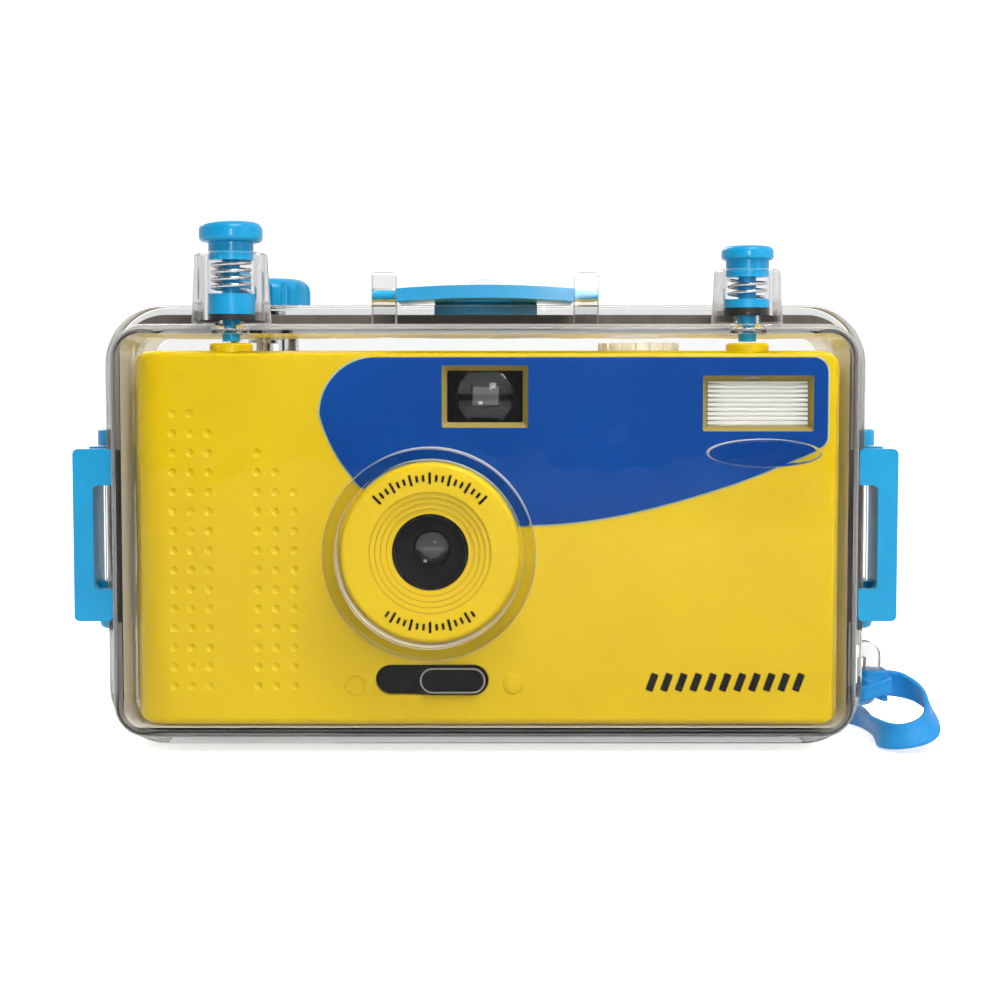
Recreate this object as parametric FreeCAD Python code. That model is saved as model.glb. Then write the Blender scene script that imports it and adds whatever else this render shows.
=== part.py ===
import FreeCAD, Part
import math
import os

# A fixed-focus 35 mm flash camera inside its clear waterproof housing, with a wrist strap.
# Millimetres. X runs along the camera, Y from the lens side to the back, Z up.
# Everything is modelled with the parting plane of the two shells at y = 0.
# It is moved at export, so that the whole stands centred over the origin.

os.makedirs("parts", exist_ok=True)
V = FreeCAD.Vector

# Fits
running_gap = 0.1
slide_gap = 0.15
seat_gap = 0.05
body_gap = 0.3

# Camera body
camera_width = 118.0
camera_height = 62.5
camera_depth = 30.0
camera_wall = 1.6
camera_left_radius = 6.5
camera_right_radius = 1.8
camera_edge = 1.2
camera_corner = 3.5
door_depth = 9.0

# Housing shells round the camera
side_gap = 1.2
top_gap = 2.8
face_gap = 1.0
shell_wall = 2.0
shell_draft = 0.5
shell_corner = 6.0
cavity_corner = 3.0
shell_edge = 1.2
flange_reach = 3.2
flange_corner = 10.0
front_flange = 4.0
back_flange = 5.3
flange_edge = 0.35
parting_gap = 0.1
gasket_inset = 1.6
gasket_width = 1.7
gasket_depth = 1.2
gasket_rise = 0.5

# Lens port in the front shell
lens_x = -9.0
lens_height = 29.3
port_outer = 17.4
port_inner = 15.4
port_reach = 5.0
port_glass = 1.6
port_rim = 1.0

# Oval finger rest under the flash
rest_x = 45.7
rest_height = 45.7
rest_half_width = 9.25
rest_half_height = 2.3
rest_reach = 4.0

# Push-button towers: shutter on the left, flash on the right
tower_inset = 11.0
stem_radius = 1.5
neck_gap = 0.25
clip_radius = 2.9
clip_thickness = 0.6
clip_groove_depth = 0.4
clip_play = 0.2
clip_seat = 1.2
button_radius = 3.6
button_proud = 1.3

shutter_x = -42.5
shutter_travel = 1.8
shutter_tower_base = 6.7
shutter_tower_top = 6.05
shutter_tower_height = 11.5
shutter_seat_rise = 0.2
shutter_seal_height = 1.0
shutter_bushing_height = 3.4
shutter_spring_length = 5.6
shutter_spring_wire = 0.7
shutter_spring_turns = 4
shutter_neck_radius = 3.75
shutter_neck_height = 3.1
shutter_cap_radius = 5.3
shutter_cap_height = 3.3

flash_x = 43.9
flash_travel = 1.5
flash_tower_base = 6.0
flash_tower_top = 5.5
flash_tower_height = 8.7
flash_seat_rise = 1.0
flash_seal_height = 1.3
flash_bushing_height = 1.4
flash_spring_length = 3.7
flash_spring_wire = 0.6
flash_spring_turns = 2.5
flash_neck_radius = 3.6
flash_neck_height = 2.9
flash_cap_radius = 4.35
flash_cap_height = 2.3

# Side latches
latch_low = 21.8
latch_high = 51.4
latch_notch_low = 27.3
latch_notch_high = 45.2
latch_notch_depth = 3.2
latch_lip_overlap = 1.4
latch_lip_thickness = 2.4
latch_wall = 1.9
latch_knuckle = 2.9
latch_pin_radius = 1.2
latch_pin_head = 3.4
latch_pin_head_height = 2.9
latch_post = 2.3
latch_axis_out = 0.8
latch_post_gap = 0.2
keeper_width = 5.0
keeper_reach = 4.0

# Top hasp over its staple
hasp_half_width = 15.1
ear_width = 4.0
ear_half_depth = 3.0
ear_top = 81.3
hasp_axis_y = -7.0
hasp_axis_z = 77.5
hasp_pin_radius = 1.1
hasp_thickness = 2.2
hasp_lift = 0.4
hasp_bow = 0.6
hasp_hook_half_width = 9.0
hasp_hook_drop = 2.6
hasp_hook_thickness = 1.8
hasp_pin_inset = 2.0
staple_radius = 4.7
staple_thickness = 2.0
staple_from_parting = 1.1
staple_clearance = 0.5
staple_back_clearance = 1.0

# Strap lug on the back shell and the strap through it
lug_out = 69.6
lug_low = 6.6
lug_high = 17.2
lug_y = 0.8
lug_thickness = 2.8
lug_round = 2.6
lug_slot_in = 0.2
lug_slot = 1.4
lug_bar = 1.4

# Wrist strap: a flat band, hitched round the lug's outer bar
strap_width = 4.6
strap_thickness = 1.0
hitch_low = 8.2
hitch_high = 11.9
strap_exit = (70.75, 2.2, 9.7)
strap_return = (68.3, 4.75, 9.7)
strap_route = (
    (73.0, 2.2, 9.7), (76.9, -1.4, 8.0), (77.0, -8.0, 5.2), (75.0, -11.6, 3.8), (71.0, -12.2, 2.8),
    (68.1, -9.2, 2.4), (67.9, -2.8, 2.4), (68.4, 4.6, 2.4), (67.8, 11.6, 2.4), (64.6, 18.6, 2.4),
    (57.8, 24.4, 2.4), (45.0, 27.6, 2.4), (29.0, 28.6, 2.4), (11.0, 29.4, 2.4), (-6.0, 31.6, 2.4),
    (-22.6, 36.4, 2.4), (-31.6, 44.6, 2.4), (-28.4, 54.0, 2.4), (-14.0, 59.0, 2.4), (2.0, 59.8, 2.4),
    (18.0, 58.0, 2.4), (34.0, 54.0, 2.4), (50.0, 47.6, 2.4), (63.0, 38.4, 2.4), (70.6, 28.4, 3.0),
    (72.2, 19.4, 5.4), (70.4, 12.6, 8.4), (68.3, 8.6, 9.7))

# Winding knob and its gear at the back
knob_x = -41.0
knob_radius = 8.5
knob_height = 5.2
knob_bottom = 76.5
knob_flutes = 16
knob_flute_radius = 1.0
knob_round = 2.4
knob_crown = 1.5
wind_shaft_radius = 1.5
wind_boss_radius = 4.2
gear_module = 0.8
wind_gear_teeth = 8
thumb_wheel_teeth = 24
gear_height = 5.0
gear_level = 58.5
thumb_wheel_y = 8.0
thumb_wheel_bore = 2.0
gear_line_lean = 0.92
bulge_wall = 1.6
bulge_gap = 0.8
wind_boss_height = 3.0
wind_seal_radius = 2.95
wind_seal_height = 1.5

# Camera front: barrel, windows, slider
barrel_radius = 14.8
barrel_reach = 4.5
barrel_steps = (10.0, 9.1, 8.2, 7.25)
barrel_hole = 6.35
barrel_step_depth = 0.35
barrel_face = 1.9
finder_x = 0.0
finder_drop = 7.6
finder_width = 14.3
finder_tall = 10.3
window_bevel = 0.85
window_round = 0.3
flash_window_x = 45.3
flash_window_drop = 8.75
flash_window_width = 18.4
flash_window_tall = 9.2
slot_x = -8.85
slot_height = 7.6
slot_width = 18.9
slot_tall = 5.15
slider_width = 11.8
slider_proud = 0.9
slider_travel = 7.0
slider_plate = 0.8
slider_margin = 0.9
slider_pin = 0.8
slider_pin_reach = 1.2
cover_pivot_height = 14.5
cover_disc = 4.6
cover_arm = 3.4
cover_hub = 2.4
cover_post = 1.0
cover_thickness = 0.8

# Label on the camera front: places as x and height on the camera
label_thickness = 0.25
label_right = 56.8
label_drop = 1.1
label_corner = 2.5
label_tip_x = -18.0
label_tip_radius = 9.4
label_left_drop = 14.2
label_mid_drop = 7.6
label_mid_out = 6.1
label_sweep = ((56.8, 48.3), (56.3, 47.0), (55.0, 46.1), (51.8, 44.7), (48.2, 43.1), (34.6, 38.3),
               (21.9, 35.1), (4.0, 33.6))

# Lens and shutter
rear_lens_radius = 3.8
lens_radius = 3.3
lens_edge = 0.7
lens_bulge = 0.7
lens_boss = 2.4
lens_boss_wall = 2.6
hood_stand = 0.6
hood_rim = 0.5
hood_back_gap = 0.3
lens_bore_depth = 1.4
board_half = 15.0
board_low = 19.0
board_high = 14.0
board_thickness = 1.2
shutter_room = 1.2
shutter_thickness = 0.4
shutter_pin = 0.8
shutter_arm_x = 7.5
shutter_arm_z = 7.8
shutter_arm_half = 1.2
shutter_overlap = 1.0
board_round = 1.0
spacer_inset = 3.0
spacer_radius = 1.6

# Finder and flash
finder_sink = 2.0
finder_curve = 16.0
eye_width = 8.0
eye_tall = 5.6
finder_wall = 1.0
finder_lens = 1.2
finder_rebate = 0.8
finder_front_rebate = 0.3
flash_lens_ribs = 10
flash_lens_plate = 0.9
reflector_depth = 7.5
reflector_wall = 0.5
tube_place = 0.45
tube_end = 0.8
flash_rim = 0.8
tube_radius = 1.1
board_x = 40.5
capacitor_radius = 3.6
capacitor_tall = 26.0
battery_x = 49.7
battery_y = 6.0
battery_radius = 7.25
battery_tall = 50.5
contact_thickness = 0.4
button_collar = 4.6
collar_thickness = 1.0
flash_board_thickness = 1.2
flash_board_height = 46.5
capacitor_height = 12.0
nub_radius = 2.7
nub_tall = 1.0
contact_half = 4.0
contact_tab_half = 2.0
contact_tab_depth = 1.0

# Film path
gate_width = 36.0
gate_tall = 24.0
film_y = 8.0
chassis_wall = 1.2
light_box_margin = 3.0
deck_low = 3.0
deck_high = 49.5
pressure_thickness = 0.8
pressure_side = 3.0
pressure_edge = 4.0
pressure_round = 2.0
leaf_tall = 7.0
leaf_thickness = 0.4
leaf_foot = 1.0
cartridge_x = 26.5
cartridge_y = 0.6
cartridge_radius = 12.4
cartridge_tall = 46.0
cartridge_lip_reach = 1.2
cartridge_lip_root = 4.0
cartridge_lip_thickness = 3.0
cartridge_lip_inset = 5.0
cartridge_lip_tall = 35.0
cartridge_bore_depth = 6.0
rewind_shaft = 2.2
rewind_knob_radius = 7.0
rewind_knob_height = 1.4
rewind_notches = 18
rewind_notch_radius = 0.45
rewind_reach = 4.0
fork_half = 0.6
fork_drop = 1.0
spool_radius = 5.0
spool_slot_half = 0.5
spool_axle_reach = 2.0
sprocket_x = -34.5
sprocket_radius = 6.05
sprocket_teeth = 8
sprocket_pin = 1.0
sprocket_core = 0.6
sprocket_rim = 2.0
sprocket_rim_gap = 0.2
tooth_foot = 0.8
tooth_tip = 0.4
tooth_tall = 1.2
tooth_root = 0.5
counter_x = -28.0
counter_y = 3.0
counter_radius = 6.0
counter_window = 1.6
counter_thickness = 1.0
screw_places = (-30.0, 5.0)
screw_y = -1.0
screw_foot = 2.4
screw_radius = 1.0
screw_head = 2.0
screw_sink = 0.9
screw_long = 3.0
screw_head_thickness = 0.8
screw_slot_half = 0.25
screw_slot_depth = 0.3

# Worked out from the above
cavity_width = camera_width + 2 * side_gap
cavity_height = camera_height + body_gap + top_gap
outer_width = cavity_width + 2 * shell_wall
outer_height = cavity_height + 2 * shell_wall
flange_width = outer_width + 2 * flange_reach
flange_height = outer_height + 2 * flange_reach
middle_z = flange_height / 2
cavity_bottom = middle_z - cavity_height / 2
cavity_top = middle_z + cavity_height / 2
shell_top = middle_z + outer_height / 2
camera_bottom = cavity_bottom + body_gap
camera_top = camera_bottom + camera_height
finder_height = camera_height - finder_drop
flash_window_height = camera_height - flash_window_drop
label_top = camera_height - label_drop
label_tip_height = label_top - label_tip_radius
camera_front = -camera_depth / 2
camera_back = camera_depth / 2
shell_front = camera_front - face_gap - shell_wall
shell_back = camera_back + face_gap + shell_wall
port_front = shell_front - port_reach
lens_z = camera_bottom + lens_height
gear_centres = gear_module * (wind_gear_teeth + thumb_wheel_teeth) / 2
thumb_wheel_tip = gear_module * (thumb_wheel_teeth / 2 + 1)
wind_gear_tip = gear_module * (wind_gear_teeth / 2 + 1)
knob_y = thumb_wheel_y + gear_line_lean * gear_centres
thumb_wheel_x = knob_x - math.sqrt(gear_centres ** 2 - (knob_y - thumb_wheel_y) ** 2)
flange_x = flange_width / 2
latch_axis_x = flange_x + latch_axis_out
latch_axis_y = back_flange + latch_pin_head + body_gap
latch_out_x = latch_axis_x + latch_post + latch_post_gap + latch_wall
latch_lip_x = flange_x - latch_lip_overlap
latch_lip_y = -front_flange - body_gap
ear_out = hasp_half_width + ear_width
front_reach = -port_front + port_rim
back_reach = knob_y + knob_radius
parting_y = (front_reach - back_reach) / 2


def block(x0, x1, y0, y1, z0, z1):
    return Part.makeBox(x1 - x0, y1 - y0, z1 - z0, V(x0, y0, z0))


def rod(radius, start, direction, length):
    return Part.makeCylinder(radius, length, V(*start), V(*direction))


def cone(radius_start, radius_end, start, direction, length):
    return Part.makeCone(radius_start, radius_end, length, V(*start), V(*direction))


def ring(outer, inner, start, direction, length):
    return rod(outer, start, direction, length).cut(rod(inner, start, direction, length))


def rounded_wire(x0, x1, z0, z1, y, radius):
    """A rectangle with round corners, standing in the XZ plane at depth y."""
    edges = []
    corners = ((x1 - radius, z1 - radius, 0), (x0 + radius, z1 - radius, 90),
               (x0 + radius, z0 + radius, 180), (x1 - radius, z0 + radius, 270))
    points = []
    for cx, cz, start in corners:
        trio = []
        for turn in (0, 45, 90):
            angle = math.radians(start + turn)
            trio.append(V(cx + radius * math.cos(angle), y, cz + radius * math.sin(angle)))
        points.append(trio)
    for index, trio in enumerate(points):
        edges.append(Part.Arc(*trio).toShape())
        following = points[(index + 1) % 4][0]
        if trio[2].distanceToPoint(following) > 1e-6:
            edges.append(Part.LineSegment(trio[2], following).toShape())
    return Part.Wire(edges)


def panel(x0, x1, z0, z1, y0, y1, radius):
    """A round-cornered plate in the XZ plane, from y0 back to y1."""
    return Part.Face(rounded_wire(x0, x1, z0, z1, y0, radius)).extrude(V(0, y1 - y0, 0))


def drafted(width, height, y0, y1, radius, draft):
    """A round-cornered block centred on the housing that narrows from y0 to y1."""
    near = rounded_wire(-width / 2, width / 2, middle_z - height / 2, middle_z + height / 2, y0, radius)
    far = rounded_wire(-width / 2 + draft, width / 2 - draft, middle_z - height / 2 + draft,
                       middle_z + height / 2 - draft, y1, radius - draft)
    return Part.makeLoft([near, far], True, True)


def turned(profile, centre, axis):
    """Turn a closed outline of (radius, height) pairs round an axis through the centre."""
    cx, cy, cz = centre
    points = []
    for radius, height in profile:
        if axis == "z":
            points.append(V(cx + radius, cy, cz + height))
        else:
            points.append(V(cx + radius, cy + height, cz))
    face = Part.Face(Part.makePolygon(points + [points[0]]))
    direction = V(0, 0, 1) if axis == "z" else V(0, 1, 0)
    return face.revolve(V(*centre), direction, 360)


def fuse_all(first, *others):
    shape = first
    for other in others:
        shape = shape.fuse(other)
    return shape.removeSplitter()


def mirrored(shape):
    return shape.mirror(V(0, 0, 0), V(1, 0, 0))


def rounded(shape, radius, chooser):
    """Fillet the edges that the chooser picks by their middle point."""
    picked = []
    for edge in shape.Edges:
        middle = edge.valueAt((edge.FirstParameter + edge.LastParameter) / 2)
        if chooser(edge, middle):
            picked.append(edge)
    return shape.makeFillet(radius, picked)


def save(name, shape):
    placed = shape.copy()
    placed.translate(V(0, parting_y, 0))
    placed.exportStep("parts/" + name + ".step")
    solids = placed.Solids
    print(name, len(solids), "solid" if len(solids) == 1 else "solids",
          round(placed.Volume, 1), "mm3", "valid" if placed.isValid() else "NOT VALID")


# The two clear shells and the gasket between them

def gasket_band(y0, y1, clearance):
    """The band that the gasket fills, all the way round the flange."""
    inset = gasket_inset - clearance
    outer = panel(-flange_x + inset, flange_x - inset, inset, flange_height - inset,
                  y0, y1, flange_corner - inset)
    inset = gasket_inset + gasket_width + clearance
    inner = panel(-flange_x + inset, flange_x - inset, inset, flange_height - inset,
                  y0, y1, flange_corner - inset)
    return outer.cut(inner)


def cavity(y0, y1):
    return panel(-cavity_width / 2, cavity_width / 2, cavity_bottom, cavity_top,
                 y0, y1, cavity_corner)


def tower(x, base_radius, top_radius, height):
    """A tapered clear post that stands on the front shell's top wall."""
    foot = shell_top - shell_wall / 2
    post = cone(base_radius, top_radius, (x, -tower_inset, foot), (0, 0, 1), shell_top + height - foot)
    return rounded(post, 0.5, lambda edge, middle: middle.z > shell_top + height - 0.01 and len(edge.Vertexes) == 1)


def tower_bore(x, neck_radius, seat_rise, height):
    """The bore for spring and bushing, the stem hole and the clip's counterbore."""
    wide = rod(neck_radius + neck_gap, (x, -tower_inset, shell_top + seat_rise), (0, 0, 1), height)
    narrow = rod(stem_radius + running_gap, (x, -tower_inset, cavity_top - 1), (0, 0, 1), height)
    clip = rod(clip_radius + 2 * slide_gap, (x, -tower_inset, cavity_top - 1), (0, 0, 1), 1 + clip_seat)
    return [wide, narrow, clip]


def oval(half_width, half_height, centre, depth):
    outline = Part.Ellipse(V(0, 0, 0), half_width, half_height).toShape()
    face = Part.Face(Part.Wire(outline))
    face.rotate(V(0, 0, 0), V(1, 0, 0), 90)
    face.translate(V(*centre))
    return face.extrude(V(0, depth, 0))


def front_shell():
    flange = panel(-flange_x, flange_x, 0, flange_height, -front_flange, -parting_gap, flange_corner)
    flange = rounded(flange, flange_edge, lambda edge, middle: middle.y < -front_flange + 0.01)
    box = drafted(outer_width, outer_height, -front_flange / 2, shell_front, shell_corner, shell_draft)
    box = rounded(box, shell_edge, lambda edge, middle: middle.y < shell_front + 0.01)
    port = rod(port_outer, (lens_x, shell_front + shell_wall / 2, lens_z), (0, -1, 0),
               port_reach + port_rim + shell_wall / 2)
    port = rounded(port, 0.6, lambda edge, middle: middle.y < port_front - port_rim + 0.01)
    rest_z = camera_bottom + rest_height
    rest = oval(rest_half_width, rest_half_height, (rest_x, shell_front + shell_wall / 2, rest_z),
                -rest_reach - shell_wall / 2)
    rest = rounded(rest, 0.5, lambda edge, middle: middle.y < shell_front - rest_reach + 0.01)
    keeper = panel(flange_x - latch_lip_overlap - body_gap - keeper_width,
                   flange_x - latch_lip_overlap - body_gap, latch_low, latch_high,
                   -front_flange - keeper_reach, -front_flange / 2, 2.0)
    ear = block(hasp_half_width, ear_out, hasp_axis_y - ear_half_depth, -front_flange / 2,
                shell_top - shell_wall / 2, ear_top)
    ear = rounded(ear, 0.7, lambda edge, middle: middle.z > ear_top - 0.01)
    ear = ear.cut(block(0, camera_width, -front_flange, 0, flange_height, ear_top + 1))
    body = fuse_all(flange, box, port, rest, keeper, mirrored(keeper), ear, mirrored(ear),
                    tower(shutter_x, shutter_tower_base, shutter_tower_top, shutter_tower_height),
                    tower(flash_x, flash_tower_base, flash_tower_top, flash_tower_height))
    cuts = [cavity(shell_front + shell_wall, 1),
            rod(port_inner, (lens_x, 0, lens_z), (0, -1, 0), -port_front - port_glass),
            rod(port_inner, (lens_x, port_front, lens_z), (0, -1, 0), 2 * port_rim),
            rod(hasp_pin_radius + running_gap, (-ear_out - 1, hasp_axis_y, hasp_axis_z), (1, 0, 0), 2 * ear_out + 2),
            gasket_band(-gasket_rise, 1, seat_gap)]
    cuts += tower_bore(shutter_x, shutter_neck_radius, shutter_seat_rise, shutter_tower_height + 1)
    cuts += tower_bore(flash_x, flash_neck_radius, flash_seat_rise, flash_tower_height + 1)
    return body.cut(cuts)


def bulge(extra, bottom, top, from_y):
    """The pocket at the back that houses the thumb wheel and the winding gear."""
    wheel = rod(thumb_wheel_tip + extra, (thumb_wheel_x, thumb_wheel_y, bottom), (0, 0, 1), top - bottom)
    pinion = rod(wind_gear_tip + extra, (knob_x, knob_y, bottom), (0, 0, 1), top - bottom)
    both = wheel.fuse(pinion)
    return both.common(block(-flange_x, 0, from_y, 2 * knob_y, bottom, top))


def back_shell():
    flange = panel(-flange_x, flange_x, 0, flange_height, 0, back_flange, flange_corner)
    flange = rounded(flange, flange_edge, lambda edge, middle: middle.y > back_flange - 0.01)
    box = drafted(outer_width, outer_height, back_flange / 2, shell_back, shell_corner, shell_draft)
    box = rounded(box, shell_edge, lambda edge, middle: middle.y > shell_back - 0.01)
    pocket_bottom = gear_level - bulge_gap
    pocket = bulge(bulge_gap + bulge_wall, pocket_bottom - 2 * bulge_wall, shell_top, back_flange)
    boss = rod(wind_boss_radius, (knob_x, knob_y, shell_top - shell_wall), (0, 0, 1),
               shell_wall + wind_boss_height)
    staple = rod(staple_radius, (0, staple_from_parting, flange_height), (0, 1, 0), staple_thickness)
    staple = staple.common(block(-flange_x, flange_x, 0, back_flange, flange_height - 0.5, ear_top))
    post_low = latch_notch_low + body_gap
    post_high = latch_notch_high - body_gap
    post = rod(latch_post, (latch_axis_x, latch_axis_y, post_low), (0, 0, 1), post_high - post_low)
    web = block(outer_width / 2 - shell_draft - 0.5, latch_axis_x, back_flange / 2, latch_axis_y,
                post_low, post_high)
    lug = panel(flange_x - 1, lug_out, lug_low, lug_high, lug_y, lug_y + lug_thickness, lug_round)
    body = fuse_all(flange, box, pocket, boss, staple, post.fuse(web), mirrored(post.fuse(web)), lug)
    pin_hole = rod(latch_pin_radius + seat_gap, (latch_axis_x, latch_axis_y, 0), (0, 0, 1), flange_height)
    cuts = [cavity(-1, shell_back - shell_wall),
            bulge(bulge_gap, pocket_bottom, cavity_top, back_flange + 1),
            rod(wind_shaft_radius + running_gap, (knob_x, knob_y, pocket_bottom - bulge_wall), (0, 0, 1),
                flange_height),
            rod(wind_seal_radius + seat_gap, (knob_x, knob_y, shell_top + wind_boss_height - wind_seal_height),
                (0, 0, 1), 2 * wind_boss_height),
            pin_hole, mirrored(pin_hole),
            block(flange_x + lug_slot_in, flange_x + lug_slot_in + lug_slot, lug_y - 1, lug_y + lug_thickness + 1,
                  lug_low + lug_bar, lug_high - 2 * lug_bar),
            gasket_band(-1, gasket_depth, seat_gap)]
    return body.cut(cuts)


def shell_gasket():
    return gasket_band(-gasket_rise, gasket_depth, 0)


# Springs and push buttons

def arc_through(start, corner, end):
    """The arc from start to end whose tangents meet at the corner."""
    middle = (start + end) * 0.5
    bend = math.atan2((corner - middle).Length, (end - start).Length / 2)
    share = math.tan(bend / 2) / math.tan(bend)
    return Part.Arc(start, middle + (corner - middle) * share, end).toShape()


def biarc(start, start_way, end, end_way):
    """Two arcs that leave start along one way and reach end along the other."""
    gap = end - start
    along = gap.dot(start_way + end_way)
    bend = 2 * (1 - start_way.dot(end_way))
    reach = (math.sqrt(along ** 2 + bend * gap.dot(gap)) - along) / bend
    middle = (start + end + (start_way - end_way) * reach) * 0.5
    return [arc_through(start, start + start_way * reach, middle),
            arc_through(middle, end - end_way * reach, end)]


def spring(name, x, y, bottom, top, outer_radius, wire, turns):
    """One unbroken wire that climbs from bottom to top in quarter turns."""
    radius = outer_radius - wire / 2
    low = bottom + wire / 2 + seat_gap
    climb = top - bottom - wire - 2 * seat_gap
    pitch = climb / turns
    quarters = int(turns * 4)
    points = []
    ways = []
    for quarter in range(quarters + 1):
        angle = math.radians(90 * quarter)
        points.append(V(x + radius * math.cos(angle), y + radius * math.sin(angle), low + pitch * quarter / 4))
        way = V(-radius * math.sin(angle), radius * math.cos(angle), pitch / (2 * math.pi))
        ways.append(way.normalize())
    edges = []
    for quarter in range(quarters):
        edges += biarc(points[quarter], ways[quarter], points[quarter + 1], ways[quarter + 1])
    least = min(points[index].distanceToPoint(points[index + 4]) for index in range(quarters - 3)) - wire
    print(name, "least gap between its turns", round(least, 2), "mm")
    section = Part.Wire(Part.Circle(points[0], ways[0], wire / 2).toShape())
    return Part.Wire(edges).makePipeShell([section], True, False)


def retaining_clip(x, y, top, shaft_radius):
    """An open spring clip that snaps into the groove of a shaft."""
    clip = ring(clip_radius, shaft_radius, (x, y, top - clip_thickness), (0, 0, 1), clip_thickness)
    mouth = block(x - shaft_radius * 0.75, x + shaft_radius * 0.75, y, y + 2 * clip_radius,
                  top - 2 * clip_thickness, top + clip_thickness)
    return clip.cut(mouth)


def push_button(name, x, seat_rise, seal_height, bushing_height, spring_length, wire, turns,
                neck_radius, neck_height, cap_radius, cap_height):
    """The pieces of one sprung plunger, from its seal in the tower up to its cap."""
    y = -tower_inset
    seat = shell_top + seat_rise
    bushing_bottom = seat + seal_height
    spring_bottom = bushing_bottom + bushing_height
    neck_bottom = spring_bottom + spring_length
    cap_bottom = neck_bottom + neck_height
    stem_bottom = camera_top + button_proud + body_gap
    clip_top = cavity_top + clip_seat - clip_play
    groove_radius = stem_radius - clip_groove_depth
    cap = rod(cap_radius, (x, y, cap_bottom), (0, 0, 1), cap_height)
    cap = rounded(cap, 0.42 * cap_height, lambda edge, middle: middle.z > cap_bottom + cap_height - 0.01
                  and len(edge.Vertexes) == 1)
    cap = rounded(cap, 0.25 * cap_height, lambda edge, middle: middle.z < cap_bottom + 0.01
                  and len(edge.Vertexes) == 1)
    stem = rod(stem_radius, (x, y, stem_bottom), (0, 0, 1), neck_bottom - stem_bottom)
    groove = ring(2 * stem_radius, groove_radius, (x, y, clip_top - clip_thickness - seat_gap), (0, 0, 1),
                  clip_thickness + 2 * seat_gap)
    plunger = fuse_all(cap, rod(neck_radius, (x, y, neck_bottom), (0, 0, 1), neck_height), stem.cut(groove))
    fitted = neck_radius + neck_gap - seat_gap
    return {
        name + "_plunger": plunger,
        name + "_clip": retaining_clip(x, y, clip_top, groove_radius + seat_gap),
        name + "_seal": ring(fitted, stem_radius + seat_gap, (x, y, seat), (0, 0, 1), seal_height),
        name + "_bushing": ring(fitted, stem_radius + running_gap, (x, y, bushing_bottom), (0, 0, 1),
                                bushing_height),
        name + "_spring": spring(name + "_spring", x, y, spring_bottom, neck_bottom,
                                 neck_radius - neck_gap, wire, turns)}


# Side latches, made for the right side and mirrored for the left

def latch_lever():
    plate_y = latch_lip_y - latch_lip_thickness
    plate = panel(latch_lip_x, latch_out_x, latch_low, latch_high, plate_y, latch_lip_y, 0.9)
    notch = panel(latch_lip_x - 5, latch_lip_x + latch_notch_depth, latch_notch_low, latch_notch_high,
                  plate_y - 1, latch_lip_y + 1, 0.8)
    wall = block(latch_out_x - latch_wall, latch_out_x, latch_lip_y - latch_lip_thickness / 2, latch_axis_y,
                 latch_low + 0.9, latch_high - 0.9)
    lever = plate.cut(notch).fuse(wall)
    for low, high in ((latch_low, latch_notch_low), (latch_notch_high, latch_high)):
        knuckle = rod(latch_knuckle, (latch_axis_x, latch_axis_y, low), (0, 0, 1), high - low)
        arm = block(latch_axis_x, latch_out_x, latch_axis_y - latch_knuckle, latch_axis_y, low, high)
        lever = lever.fuse(knuckle).fuse(arm)
    pin_hole = rod(latch_pin_radius + running_gap, (latch_axis_x, latch_axis_y, 0), (0, 0, 1), flange_height)
    return lever.removeSplitter().cut(pin_hole)


def latch_pin():
    low = latch_low - slide_gap
    high = latch_high + slide_gap
    shaft = rod(latch_pin_radius, (latch_axis_x, latch_axis_y, low), (0, 0, 1), high - low)
    foot = rod(latch_pin_head, (latch_axis_x, latch_axis_y, low - latch_pin_head_height), (0, 0, 1),
               latch_pin_head_height)
    foot = rounded(foot, 0.9, lambda edge, middle: middle.z < low - latch_pin_head_height + 0.01
                   and len(edge.Vertexes) == 1)
    head = rod(latch_pin_head, (latch_axis_x, latch_axis_y, high), (0, 0, 1), latch_pin_head_height)
    head = rounded(head, 0.5, lambda edge, middle: middle.z > high + latch_pin_head_height - 0.01
                   and len(edge.Vertexes) == 1)
    return fuse_all(shaft, foot, head)


# Top hasp

def bowed_strip(half_width, bottom, thickness, bow, y0, y1):
    """A strip that spans both sides and rises by the bow in its middle."""
    low = Part.Arc(V(-half_width, y0, bottom), V(0, y0, bottom + bow), V(half_width, y0, bottom)).toShape()
    high = Part.Arc(V(half_width, y0, bottom + thickness), V(0, y0, bottom + thickness + bow),
                    V(-half_width, y0, bottom + thickness)).toShape()
    right = Part.LineSegment(V(half_width, y0, bottom), V(half_width, y0, bottom + thickness)).toShape()
    left = Part.LineSegment(V(-half_width, y0, bottom + thickness), V(-half_width, y0, bottom)).toShape()
    return Part.Face(Part.Wire([low, right, high, left])).extrude(V(0, y1 - y0, 0))


def top_hasp():
    half_width = hasp_half_width - slide_gap
    bottom = hasp_axis_z - hasp_thickness / 2
    hook_y = back_flange + hasp_lift
    strip = bowed_strip(half_width, bottom, hasp_thickness, hasp_bow, hasp_axis_y - hasp_thickness,
                        hook_y + hasp_hook_thickness)
    hook = block(-hasp_hook_half_width, hasp_hook_half_width, hook_y, hook_y + hasp_hook_thickness,
                 flange_height - hasp_hook_drop, hasp_axis_z)
    pins = rod(hasp_pin_radius, (-ear_out, hasp_axis_y, hasp_axis_z), (1, 0, 0), 2 * ear_out)
    inner = half_width - hasp_pin_inset
    pins = pins.cut(block(-inner, inner, hasp_axis_y - 2 * hasp_pin_radius, hasp_axis_y + 2 * hasp_pin_radius,
                          hasp_axis_z - 2 * hasp_pin_radius, hasp_axis_z + 2 * hasp_pin_radius))
    reach = staple_radius + staple_clearance
    slot = block(-reach, reach, staple_from_parting - staple_clearance,
                 staple_from_parting + staple_thickness + staple_back_clearance, bottom - 1, ear_top)
    return fuse_all(strip, hook, pins).cut(slot)


# Winding knob, shaft, gear and the camera's thumb wheel

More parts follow.
